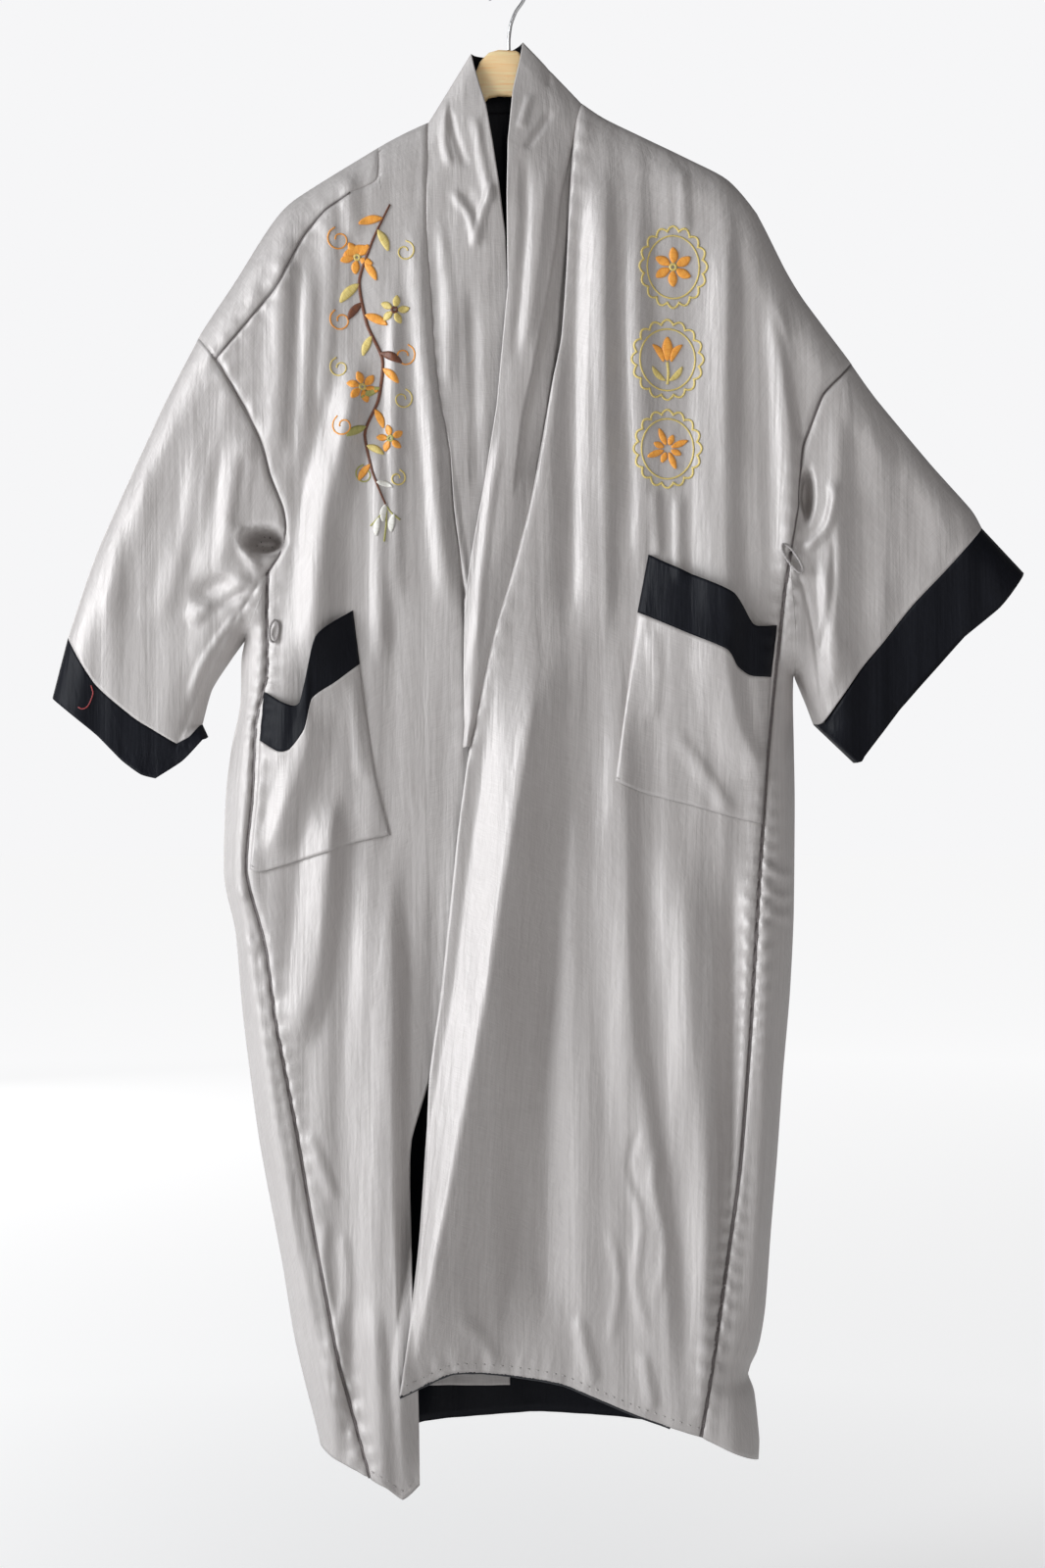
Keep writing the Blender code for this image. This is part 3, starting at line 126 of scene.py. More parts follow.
# Folds of the front. Name, height in mm, reach to the left at the top and foot, reach to
# the right at the top and foot, crispness from 0 to 1, then the crest's points downwards.
FRONT_FOLDS = (
    ("right chest fold", 13, 26, 34, 16, 36, 0.4, (372, 350), (358, 430), (346, 480), (334, 540), (323, 640),
     (318, 700)),
    ("right chest ridge", 5, 14, 16, 10, 12, 0.2, (386, 430), (390, 520), (391, 600), (392, 690)),
    ("right collar ridge", 5, 12, 14, 12, 13, 0.2, (403, 280), (403, 420), (404, 540), (405, 640)),
    ("right collar stripe", 5, 16, 16, 12, 14, 0.2, (424, 200), (430, 330), (441, 440), (450, 540), (462, 640)),
    ("right shoulder drape", 4, 18, 16, 14, 12, 0.2, (334, 190), (338, 260), (337, 340), (334, 430)),
    ("right outer drape", 6, 24, 22, 20, 18, 0.1, (294, 240), (290, 320), (288, 400), (286, 480)),
    ("right shoulder dimple", 4, 14, 14, 14, 16, 0.2, (356, 176), (360, 210), (364, 250)),
    ("right arm drape", 4, 14, 18, 12, 14, 0.2, (320, 262), (318, 340), (312, 420), (304, 500)),
    ("right hip fold", 11, 30, 34, 14, 22, 0.4, (344, 800), (338, 880), (331, 950), (322, 1010), (300, 1070)),
    ("right front fold", 13, 48, 56, 18, 18, 0.4, (396, 850), (402, 980), (402, 1100), (403, 1220),
     (408, 1340), (414, 1540)),
    ("right patch a", 2.5, 10, 10, 10, 10, 0.2, (316, 1146), (330, 1180), (346, 1220)),
    ("right patch b", 2.5, 9, 9, 9, 9, 0.2, (338, 1232), (332, 1280), (341, 1334)),
    ("right patch c", 2.2, 10, 10, 10, 10, 0.2, (352, 1244), (357, 1300), (352, 1344)),
    ("right hem fold a", 6, 22, 26, 14, 16, 0.2, (350, 1310), (346, 1400), (341, 1470), (338, 1540)),
    ("right hem fold b", 5, 24, 24, 14, 16, 0.2, (384, 1310), (388, 1400), (392, 1470), (394, 1540)),
    ("right roll a", 3, 10, 10, 8, 8, 0.3, (230, 894), (244, 906), (258, 915)),
    ("right roll b", 3, 9, 9, 8, 8, 0.3, (242, 950), (256, 960), (270, 967)),
    ("right side strip", 3, 10, 12, 10, 12, 0.1, (256, 680), (252, 800), (246, 890), (262, 1000),
     (282, 1120), (302, 1240), (326, 1360), (352, 1480)),
    ("left collar hollow", -8, 26, 28, 14, 16, 0.2, (592, 160), (588, 280), (584, 390), (583, 500), (582, 660)),
    ("left chest ridge a", 6, 18, 22, 12, 14, 0.2, (616, 150), (615, 280), (615, 400), (616, 520), (615, 680)),
    ("left chest ridge b", 5, 14, 16, 24, 26, 0.2, (652, 190), (648, 300), (650, 400), (654, 500), (650, 600)),
    ("left shoulder crease", 3.5, 10, 10, 9, 9, 0.4, (693, 170), (696, 206), (697, 246)),
    ("left chest ridge c", 9, 32, 36, 16, 22, 0.35, (738, 205), (738, 300), (736, 400), (736, 500),
     (737, 600), (738, 680)),
    ("left arm ridge", 6, 20, 22, 12, 12, 0.2, (786, 280), (795, 370), (800, 440), (802, 520), (802, 610)),
    ("left arm crease", -3, 8, 8, 8, 8, 0.3, (788, 318), (800, 380), (808, 431), (816, 462)),
    ("left ring fold a", 3.5, 10, 10, 8, 8, 0.3, (666, 498), (667, 530), (670, 574)),
    ("left ring fold b", 3.5, 8, 8, 12, 12, 0.3, (690, 500), (690, 550), (690, 604)),
    ("big lap fold", 26, 46, 22, 48, 84, 0.85, (549, 610), (546, 700), (532, 800), (514, 900), (497, 1010),
     (480, 1100), (461, 1200), (441, 1300), (428, 1370), (416, 1440)),
    ("lap fold valley", -13, 30, 66, 26, 34, 0.6, (568, 690), (561, 800), (557, 900), (556, 1010),
     (556, 1100), (557, 1200), (556, 1300), (554, 1390)),
    ("left middle ridge", 8, 34, 40, 20, 18, 0.35, (626, 640), (632, 760), (634, 860), (638, 960),
     (644, 1060), (658, 1160), (672, 1250), (678, 1340), (682, 1460)),
    ("crumple a", 2.4, 8, 9, 6, 7, 0.5, (638, 1186), (652, 1240), (646, 1300), (660, 1356)),
    ("crumple b", 2.0, 7, 8, 6, 6, 0.5, (672, 1150), (664, 1200), (676, 1262), (668, 1320)),
    ("crumple c", 1.8, 8, 8, 7, 7, 0.4, (618, 1236), (630, 1300), (620, 1366)),
    ("crumple d", -1.6, 6, 6, 7, 7, 0.4, (650, 1140), (640, 1180), (652, 1220)),
    ("hem rise a", 3.0, 9, 12, 8, 10, 0.5, (588, 1330), (596, 1366), (606, 1404)),
    ("hem rise b", 3.0, 8, 10, 8, 10, 0.5, (652, 1366), (658, 1396), (664, 1430)),
    ("left outer ridge", 10, 30, 34, 40, 22, 0.4, (690, 810), (694, 900), (698, 1000), (706, 1100),
     (716, 1200), (718, 1300), (712, 1400), (708, 1480)),
    ("left side valley", -9, 26, 16, 14, 10, 0.4, (744, 850), (746, 950), (745, 1060), (739, 1180),
     (734, 1260), (722, 1380)),
    ("left side strip", 4, 16, 16, 12, 10, 0.2, (778, 840), (777, 1040), (775, 1150), (770, 1260), (760, 1380)),
    ("left pinch a", 3, 8, 8, 7, 7, 0.3, (772, 878), (790, 890), (809, 893)),
    ("left pinch b", 3, 7, 7, 6, 6, 0.3, (774, 905), (792, 913), (809, 914)),
    ("left pinch c", 3, 8, 8, 7, 7, 0.3, (776, 928), (794, 933), (808, 931)),
    ("left hem triangle", 3, 14, 16, 10, 12, 0.3, (470, 1330), (490, 1352), (510, 1390)),
    ("right sleeve a", 4.5, 22, 24, 12, 16, 0.5, (262, 430), (248, 500), (234, 556), (222, 600)),
    ("right sleeve b", 3, 20, 22, 14, 16, 0.3, (230, 410), (208, 500), (186, 580), (158, 650)),
    ("right sleeve c", 2.5, 28, 28, 22, 24, 0.1, (190, 400), (160, 470), (130, 560), (104, 650)),
    ("right sleeve groove a", -3.5, 8, 8, 8, 8, 0.2, (256, 462), (248, 505), (242, 546)),
    ("right sleeve groove b", -2.0, 9, 10, 9, 10, 0.2, (222, 430), (208, 490), (202, 531), (194, 596)),
    ("right pit rim", 5, 9, 8, 6, 6, 0.3, (256, 540), (250, 552), (256, 570), (270, 584)),
    ("right pit fold a", 5, 14, 16, 8, 10, 0.6, (262, 592), (236, 606), (214, 622), (196, 640)),
    ("right pit fold b", 4, 8, 8, 7, 7, 0.5, (256, 622), (232, 648), (210, 680), (196, 716)),
    ("right pit fold c", 3, 6, 7, 6, 7, 0.5, (246, 640), (226, 668), (210, 704)),
    ("left sleeve a", 6, 18, 20, 16, 20, 0.4, (850, 396), (851, 480), (848, 560), (848, 640), (856, 710)),
    ("left sleeve line a", -2.5, 6, 7, 6, 7, 0.2, (838, 530), (846, 567), (842, 621), (835, 670)),
    ("left sleeve b", 3, 28, 28, 24, 24, 0.2, (884, 420), (902, 500), (906, 580), (892, 650)),
    ("left sleeve c", 2.5, 24, 26, 22, 22, 0.2, (925, 456), (950, 520), (962, 580)),
    ("left pit rim", 5, 6, 6, 8, 8, 0.3, (840, 492), (846, 510), (838, 542), (814, 566)),
    ("left pit fold", 4, 8, 9, 10, 14, 0.6, (834, 566), (838, 610), (842, 660), (846, 710)),
)

# Hollows pressed into the front: name, centre, half width, half height, depth in mm.
FRONT_HOLLOWS = (
    ("right armpit", 272, 555, 27, 16, 38),
    ("left armpit", 820, 508, 9, 31, 24),
    ("right sleeve shadow", 226, 606, 34, 20, 7),
)

# Folds of the back, in the same columns.
BACK_FOLDS = (
    ("centre fold", 8, 46, 50, 40, 44, 0.2, (520, 380), (524, 700), (534, 1040), (546, 1480)),
    ("right back fold", 7, 40, 44, 34, 36, 0.3, (400, 520), (394, 800), (402, 1100), (412, 1500)),
    ("left back fold", 7, 42, 44, 36, 40, 0.3, (660, 480), (664, 800), (654, 1140), (650, 1500)),
    ("right blade fold", 6, 34, 34, 30, 30, 0.2, (330, 300), (340, 520), (350, 820)),
    ("left blade fold", 6, 34, 34, 30, 30, 0.2, (740, 300), (738, 520), (735, 820)),
    ("right low fold", 5, 26, 30, 22, 26, 0.3, (320, 820), (340, 1100), (366, 1500)),
    ("left low fold", 5, 26, 28, 24, 26, 0.3, (736, 860), (722, 1140), (712, 1500)),
    ("inner right crease", 3, 16, 18, 14, 16, 0.3, (462, 620), (458, 900), (470, 1300)),
    ("inner left crease", 3, 16, 18, 14, 16, 0.3, (600, 700), (604, 980), (596, 1360)),
    ("right sleeve back", 6, 30, 30, 26, 26, 0.2, (236, 400), (200, 520), (150, 670)),
    ("right sleeve back b", 4, 22, 24, 18, 20, 0.2, (190, 420), (150, 520), (112, 650)),
    ("left sleeve back", 6, 30, 30, 26, 26, 0.2, (866, 430), (900, 530), (930, 640)),
)

# Sewn seams: name, depth of the groove, size of the puckers, their spacing in mm, its line.
FRONT_SEAMS = (
    ("right shoulder seam", 1.7, 0.8, 17, RIGHT_SHOULDER),
    ("right armhole seam", 2.8, 1.3, 21, RIGHT_ARMHOLE),
    ("left armhole seam", 2.8, 1.3, 23, LEFT_ARMHOLE),
    ("right side seam", 3.2, 2.3, 19, RIGHT_SIDE_SEAM),
    ("left side seam", 3.4, 3.4, 18, LEFT_SIDE_SEAM),
    ("right collar seam", 1.8, 1.0, 22, RIGHT_FRONT_EDGE[:10]),
    ("left collar seam", 2.0, 1.1, 20, LEFT_FRONT_EDGE[:14]),
    ("right underarm seam", 1.4, 0.8, 18, ((273, 588), (260, 610), (231, 653), (206, 703), (184, 759))),
    ("left hem", 0.5, 1.3, 14, tuple((x, y - 8) for x, y in LEFT_HEM)),
    ("right hem", 0.5, 1.0, 15, tuple((x, y - 8) for x, y in RIGHT_HEM)),
    ("knee crease", 0.8, 0.1, 40, ((440, 1123), (500, 1125), (566, 1121))),
    ("left underarm seam", 1.4, 0.8, 18, ((803, 566), (818, 610), (828, 660), (834, 705), (837, 738))),
)
BACK_SEAMS = (
    ("centre back seam", 1.5, 0.6, 24, ((517, 140), (524, 500), (532, 1000), (548, 1448))),
    ("right armhole back", 1.6, 0.8, 22, RIGHT_BACK_ARMHOLE),
    ("left armhole back", 1.6, 0.8, 22, LEFT_BACK_ARMHOLE),
)


def smooth_step(value):
    """An even rise from 0 to 1 with soft ends."""
    value = np.clip(value, 0.0, 1.0)
    return value * value * (3.0 - 2.0 * value)


def step_lengths(line):
    """Lengths from each point of a line to the next."""
    return np.linalg.norm(np.diff(np.asarray(line, dtype=float), axis=0), axis=1)


def distances(line):
    """Distance of each point of a line from its start, measured along it."""
    return np.concatenate([[0.0], np.cumsum(step_lengths(line))])


def crossing(line, values, axis):
    """The other coordinate of a line where its x (axis 0) or y (axis 1) has these values."""
    data = np.array(line, dtype=float)
    return np.interp(values, data[:, axis], data[:, 1 - axis])


def along(points, fractions):
    """Points at these fractions of a smooth line through the listed ones."""
    base = np.array(points, dtype=float)
    fine = [base[0]]
    for index in range(len(base) - 1):
        before = base[max(index - 1, 0)]
        start = base[index]
        end = base[index + 1]
        after = base[min(index + 2, len(base) - 1)]
        for step in range(1, LINE_STEPS + 1):
            t = step / LINE_STEPS
            bend = 0.5 * ((2 * start) + (end - before) * t
                          + (2 * before - 5 * start + 4 * end - after) * t * t
                          + (3 * start - before - 3 * end + after) * t ** 3)
            straight = start + (end - start) * t
            fine.append(ROUNDNESS * bend + (1.0 - ROUNDNESS) * straight)
    fine = np.array(fine)
    lengths = distances(fine)
    wanted = np.asarray(fractions, dtype=float) * lengths[-1]
    return np.stack([np.interp(wanted, lengths, fine[:, k]) for k in range(fine.shape[1])], axis=1)


def reach(flat, line, count):
    """Distance of each flat point from a line, the share along it and the side, right positive."""
    fine = along(line, np.linspace(0.0, 1.0, count + 1))
    best = np.full(len(flat), 1.0e18)
    share = np.zeros(len(flat))
    side = np.zeros(len(flat))
    for k in range(count):
        span = fine[k + 1] - fine[k]
        rel = flat - fine[k]
        t = np.clip((rel @ span) / max(span @ span, 1e-9), 0.0, 1.0)
        gap = rel - t[:, None] * span
        squared = gap[:, 0] ** 2 + gap[:, 1] ** 2
        closer = squared < best
        best = np.where(closer, squared, best)
        share = np.where(closer, (k + t) / count, share)
        side = np.where(closer, rel[:, 0] * span[1] - rel[:, 1] * span[0], side)
    return np.sqrt(best), share, side


def near_line(flat, line, margin):
    """Numbers of the flat points inside a line's box, grown by a margin."""
    box = np.array(line, dtype=float)
    low = box.min(axis=0) - margin
    high = box.max(axis=0) + margin
    return np.nonzero(((flat > low) & (flat < high)).all(axis=1))[0]


def outline_distance(flat):
    """Distance in mm of each flat point from the robe's outline, where it is close."""
    best = np.full(len(flat), 1.0e9)
    for line in (TOP_RIGHT_SIDE, LOW_RIGHT_SIDE, TOP_LEFT_SIDE, LOW_LEFT_SIDE):
        picked = near_line(flat, line, EDGE_ROLL / UNIT + 2.0)
        if len(picked):
            gap, _, _ = reach(flat[picked], line, 70)
            best[picked] = np.minimum(best[picked], gap * UNIT)
    return best


def fold_relief(flat, folds):
    """Height of the listed folds at each flat point."""
    total = np.zeros(len(flat))
    for row in folds:
        _, height, left_top, left_foot, right_top, right_foot, crisp = row[:7]
        path = row[7:]
        picked = near_line(flat, path, max(left_top, left_foot, right_top, right_foot) + 2.0)
        if not len(picked):
            continue
        gap, share, side = reach(flat[picked], path, 26)
        left = left_top + (left_foot - left_top) * share
        right = right_top + (right_foot - right_top) * share
        r = np.clip(gap / np.where(side < 0.0, left, right), 0.0, 1.0)
        soft = np.cos(0.5 * math.pi * r) ** 2
        shape = soft * (1.0 - crisp) + (1.0 - r) * crisp
        fade = smooth_step(share / 0.22) * smooth_step((1.0 - share) / 0.16)
        total[picked] += height * shape * fade
    return total


def seam_relief(flat, seams):
    """Grooves and puckers along the sewn seams."""
    total = np.zeros(len(flat))
    for number, (_, groove, pucker, spacing, line) in enumerate(seams):
        picked = near_line(flat, line, SEAM_MARGIN)
        if not len(picked):
            continue
        gap, share, _ = reach(flat[picked], line, 60)
        gap = gap * UNIT
        run = share * (float(step_lengths(line).sum()) * UNIT)
        wave = np.sin(2.0 * math.pi * run / spacing + 1.7 * np.sin(run / 31.0 + number) + number)
        strength = 0.55 + 0.45 * np.sin(run / 57.0 + 2.0 * number)
        total[picked] += -groove * np.exp(-(gap / GROOVE_REACH) ** 2)
        total[picked] += (pucker * strength * wave * np.exp(-(gap / PUCKER_REACH) ** 2)
                          * (1.0 - np.exp(-(gap / PUCKER_START) ** 2)))
    return total


def soft_waves(flat, seed):
    """Small uneven give of the cloth between its folds."""
    x = flat[:, 0]
    y = flat[:, 1]
    total = 0.45 * np.sin(x / 19.0 + 1.3 * np.sin(y / 83.0 + seed) + seed)
    total += 0.35 * np.sin(x / 11.0 - y / 97.0 + 2.1 * np.sin(y / 61.0 + 2 * seed))
    total += 0.30 * np.sin(y / 37.0 + 1.9 * np.sin(x / 43.0 + seed)) * np.sin(x / 29.0 + seed)
    total += 0.16 * np.sin(x / 6.3 + 3.0 * np.sin(y / 140.0 + seed)) * np.sin(y / 53.0 + 3 * seed)
    total += (0.8 * np.sin(x / 5.6 + 1.6 * np.sin(y / 170.0 + seed) + seed)
              * np.sin(x / 31.0 + y / 210.0 + 2 * seed))
    return total


def plain_depth(flat):
    """Half depth of the body and the arms, without folds."""
    body = crossing(BODY_DEPTH, flat[:, 1], 0)
    beyond = np.maximum((ARMPIT_X[0] - flat[:, 0]) / ARM_BLEND, (flat[:, 0] - ARMPIT_X[1]) / ARM_BLEND)
    arm = smooth_step(beyond) * (1.0 - smooth_step((flat[:, 1] - ARM_FOOT) / ARM_FOOT_FADE))
    return body * (1.0 - arm) + SLEEVE_DEPTH * arm


def rounded(flat, depth, seams):
    """A depth that rounds off toward the outline, with its sewn seams."""
    near = np.clip(outline_distance(flat) / EDGE_ROLL, 0.0, 1.0)
    cap = np.sqrt(np.clip(1.0 - (1.0 - near) ** 2, 0.0, 1.0))
    return depth * cap + seam_relief(flat, seams) * np.clip(cap * 2.0, 0.0, 1.0)


def front_depth(flat):
    """How far the front stands toward the viewer from the middle plane, in mm."""
    depth = plain_depth(flat)
    depth += fold_relief(flat, FRONT_FOLDS) + soft_waves(flat, 0.6)
    for _, x, y, wide, high, deep in FRONT_HOLLOWS:
        away = ((flat[:, 0] - x) / wide) ** 2 + ((flat[:, 1] - y) / high) ** 2
        depth -= deep * (1.0 - smooth_step((np.sqrt(away) - 0.3) / 0.7))
    return rounded(flat, depth, FRONT_SEAMS)


def left_front_depth(flat):
    """The outer front's depth, which laps over the other front."""
    edge = crossing(LEFT_FRONT_EDGE, flat[:, 1], 1)
    across = 1.0 - smooth_step((flat[:, 0] - edge) / OVERLAP_REACH)
    lift = OVERLAP_LIFT * across * smooth_step((flat[:, 1] - OVERLAP_TOP) / OVERLAP_TOP)
    return front_depth(flat) + lift


def behind(flat):
    """The back's depth, away from the viewer."""
    depth = np.maximum(BACK_SHARE * plain_depth(flat), BACK_LEAST)
    depth = depth + fold_relief(flat, BACK_FOLDS) + soft_waves(flat, 2.9)
    return -rounded(flat, depth, BACK_SEAMS)


def place(flat, depth):
    """Drawing points and a depth toward the viewer, as positions in millimetres."""
    flat = np.asarray(flat, dtype=float)
    return np.stack([(flat[..., 0] - HANG_X) * UNIT, -np.asarray(depth) + 0.0 * flat[..., 0],
                     -(flat[..., 1] - HANG_Y) * UNIT], axis=-1)


def spread(flat, depth_of):
    """A grid of flat points, placed with a depth function."""
    return place(flat, depth_of(flat.reshape(-1, 2)).reshape(flat.shape[:-1]))


def patch(top, bottom, start, end, across, down):
    """Flat points filling four edges: rows run down, columns run from start to end."""
    u = np.asarray(across)[None, :, None]
    v = np.asarray(down)[:, None, None]
    edges = (1 - v) * top[None] + v * bottom[None] + (1 - u) * start[:, None] + u * end[:, None]
    corners = ((1 - u) * (1 - v) * top[0] + u * (1 - v) * top[-1]
               + (1 - u) * v * bottom[0] + u * v * bottom[-1])
    return edges - corners


def grid_lengths(points):
    """Distances in metres across and down a grid, for the cloth's own map."""
    across = np.linalg.norm(np.diff(points, axis=1), axis=2)
    down = np.linalg.norm(np.diff(points, axis=0), axis=2)
    u = np.concatenate([np.zeros((points.shape[0], 1)), np.cumsum(across, axis=1)], axis=1)
    v = np.concatenate([np.zeros((1, points.shape[1])), np.cumsum(down, axis=0)], axis=0)
    return np.stack([u, v], axis=2) / MM


def smooth_piece(name, points, faces, materials):
    """A smooth mesh from points in mm and lists of faces, put in the scene."""
    mesh = bpy.data.meshes.new(name)
    mesh.from_pydata((points / MM).tolist(), [], faces)
    for material in materials:
        mesh.materials.append(material)
    mesh.polygons.foreach_set("use_smooth", np.ones(len(faces), dtype=bool))
    item = bpy.data.objects.new(name, mesh)
    bpy.context.scene.collection.objects.link(item)
    return item


def shell(name, grids, wall, outer_material, inner_material):
    """A thin sewn shell over grids, each (points, flip), that meet along their edges."""
    points = np.concatenate([g.reshape(-1, 3) for g, _ in grids])
    lengths = np.concatenate([grid_lengths(g).reshape(-1, 2) for g, _ in grids])
    quads = []
    offset = 0
    for g, flip in grids:
        rows, columns = g.shape[:2]
        index = np.arange(rows * columns).reshape(rows, columns) + offset
        quad = np.stack([index[:-1, :-1], index[:-1, 1:], index[1:, 1:], index[1:, :-1]], axis=2)
        quad = quad.reshape(-1, 4)
        quads.append(quad[:, ::-1] if flip else quad)
        offset += rows * columns
    quads = np.concatenate(quads)
    keys = np.round(points / MERGE).astype(np.int64)
    _, first, inverse = np.unique(keys, axis=0, return_index=True, return_inverse=True)
    merged = points[first]
    faces = inverse.reshape(-1)[quads]
    whole = np.ones(len(faces), dtype=bool)
    for a in range(4):
        for b in range(a):
            whole &= faces[:, a] != faces[:, b]
    # Faces that lost one corner in the merging become triangles.
    thirds = []
    for face, corner in zip(faces[~whole], quads[~whole]):
        kept = dict(zip(face[::-1].tolist(), corner[::-1].tolist()))
        if len(kept) == 3:
            thirds.append([(item, kept[item]) for item in dict.fromkeys(face.tolist())])
    thirds = np.array(thirds, dtype=np.int64).reshape(-1, 3, 2)
    # Each kind of face: the merged points it joins and the grid points it came from.
    kinds = [(faces[whole], quads[whole]), (thirds[..., 0], thirds[..., 1])]
    normals = np.zeros_like(merged)
    for joined, _ in kinds:
        corners = [merged[joined[:, a]] for a in range(joined.shape[1])]
        if len(corners) == 4:
            push = np.cross(corners[2] - corners[0], corners[3] - corners[1])
        else:
            push = np.cross(corners[1] - corners[0], corners[2] - corners[0])
        for a in range(len(corners)):
            np.add.at(normals, joined[:, a], push)
    normals /= np.maximum(np.linalg.norm(normals, axis=1), 1e-9)[:, None]
    count = len(merged)
    starts = np.concatenate([joined.reshape(-1) for joined, _ in kinds])
    ends = np.concatenate([np.roll(joined, -1, axis=1).reshape(-1) for joined, _ in kinds])
    sources = np.concatenate([source.reshape(-1) for _, source in kinds])
    rim = ~np.isin(starts * (count + 1) + ends, ends * (count + 1) + starts)
    kinds += [(joined[:, ::-1] + count, source[:, ::-1]) for joined, source in kinds]
    kinds.append((np.stack([ends[rim], starts[rim], starts[rim] + count, ends[rim] + count], axis=1),
                  np.repeat(sources[rim][:, None], 4, axis=1)))
    all_faces = sum([joined.tolist() for joined, _ in kinds], [])
    loops = np.concatenate([source.reshape(-1) for _, source in kinds])
    both = np.concatenate([merged + normals * wall * 0.5, merged - normals * wall * 0.5])
    item = smooth_piece(name, both, all_faces, (outer_material, inner_material))
    layer = item.data.uv_layers.new(name="cloth")
    layer.data.foreach_set("uv", lengths[loops].astype(np.float32).reshape(-1))
    inner = np.zeros(len(all_faces), dtype=np.int32)
    visible = len(kinds[0][0]) + len(kinds[1][0])
    inner[visible:2 * visible] = 1
    item.data.polygons.foreach_set("material_index", inner)
    item.data.update()
    return item


def tree_of(name):
    """A new material, its node tree and its surface node."""
    material = bpy.data.materials.new(name)
    material.use_nodes = True
    tree = material.node_tree
    return material, tree, tree.nodes["Principled BSDF"]


def set_inputs(tree, made, values):
    """Links each input given as another node's output and sets the others."""
    for key, value in values.items():
        if isinstance(value, bpy.types.NodeSocket):
            tree.links.new(value, made.inputs[key])
        else:
            made.inputs[key].default_value = value


def node(tree, kind, values, **settings):
    """A new node with its settings and inputs."""
    made = tree.nodes.new(kind)
    for key, value in settings.items():
        setattr(made, key, value)
    set_inputs(tree, made, values)
    return made


def noise(tree, source, scale, detail, **more):
    """Noise over a source of coordinates, scaled alike or by three factors."""
    if isinstance(scale, tuple):
        source = node(tree, "ShaderNodeMapping", {"Vector": source, "Scale": scale}).outputs["Vector"]
        scale = 1.0
    values = {"Vector": source, "Scale": scale, "Detail": detail, **more}
    return node(tree, "ShaderNodeTexNoise", values).outputs["Fac"]


def ranged(tree, value, low, high, to_low=0.0, to_high=1.0):
    """A value taken from one range to another."""
    values = {"Value": value, "From Min": low, "From Max": high, "To Min": to_low, "To Max": to_high}
    return node(tree, "ShaderNodeMapRange", values).outputs["Result"]


def calculated(tree, operation, *values):
    """A sum or product of values in a node tree."""
    return node(tree, "ShaderNodeMath", dict(enumerate(values)), operation=operation).outputs["Value"]


def bumped(tree, height, strength, distance, **below):
    """A normal raised by a height, over another normal where one is given."""
    values = {"Height": height, "Strength": strength, "Distance": distance, **below}
    return node(tree, "ShaderNodeBump", values).outputs["Normal"]


def two_tone(tree, share, dark, light):
    """A colour between a dark and a light tone."""
    values = {"A": (*dark, 1.0), "B": (*light, 1.0), "Factor": share}
    return node(tree, "ShaderNodeMix", values, data_type="RGBA").outputs["Result"]


def cloth_group():
    """Woven satin: fine cross threads, slubs and pressed creases, as a normal, a tone and a gloss."""
    group = bpy.data.node_groups.new("woven_satin", "ShaderNodeTree")
    group.interface.new_socket("Crease", in_out="INPUT", socket_type="NodeSocketFloat")
    group.interface.new_socket("Normal", in_out="OUTPUT", socket_type="NodeSocketVector")
    group.interface.new_socket("Tone", in_out="OUTPUT", socket_type="NodeSocketFloat")
    group.interface.new_socket("Gloss", in_out="OUTPUT", socket_type="NodeSocketFloat")
    crease = group.nodes.new("NodeGroupInput").outputs["Crease"]
    spot = node(group, "ShaderNodeTexCoord", {}).outputs["Object"]
    cloth = node(group, "ShaderNodeUVMap", {}, uv_map="cloth").outputs["UV"]
    warp = noise(group, cloth, (1700.0, 55.0, 1.0), 2.0)
    weft = noise(group, cloth, (60.0, 1300.0, 1.0), 2.0)
    weave = calculated(group, "ADD", warp, weft)
    crumple = noise(group, spot, (62.0, 62.0, 20.0), 3.0, Distortion=0.6)
    patches = noise(group, spot, 5.0, 2.0)
    drape = noise(group, spot, (44.0, 44.0, 2.4), 4.0, Roughness=0.55, Distortion=0.3)
    slub = ranged(group, noise(group, cloth, (330.0, 5.0, 1.0), 4.0, Roughness=0.6), 0.0, 1.0, 0.15, 0.5)
    long_lines = bumped(group, drape, crease, 0.011)
    creases = bumped(group, crumple, crease, 0.0035, Normal=long_lines)
    threads = bumped(group, weave, 0.35, 0.0003, Normal=creases)
    fine = calculated(group, "MULTIPLY_ADD", weave, 0.5, slub)
    tone = calculated(group, "MULTIPLY_ADD", patches, 0.45, fine)
    set_inputs(group, group.nodes.new("NodeGroupOutput"), {"Normal": threads, "Tone": tone, "Gloss": patches})
    return group


WOVEN = cloth_group()


def satin(name, dark, light, rough, crease, sheen, metal, shine=0.4):
    """Satin cloth between two near colours."""
    material, tree, shader = tree_of(name)
    woven = node(tree, "ShaderNodeGroup", {"Crease": crease}, node_tree=WOVEN)
    set_inputs(tree, shader, {
        "Base Color": two_tone(tree, ranged(tree, woven.outputs["Tone"], 0.75, 1.3), dark, light),
        "Roughness": ranged(tree, woven.outputs["Gloss"], 0.3, 0.7, rough - 0.04, rough + 0.06),
        "Normal": woven.outputs["Normal"], "Metallic": metal, "Sheen Weight": sheen,
        "Sheen Roughness": 0.4, "Specular IOR Level": shine})
    return material


GREY = satin("grey_satin", (0.45, 0.42, 0.41), (0.63, 0.60, 0.585), 0.46, 0.24, 0.1, 0.18)
BLACK = satin("black_satin", (0.003, 0.0035, 0.006), (0.007, 0.008, 0.013), 0.5, 0.3, 0.0, 0.0, 0.16)

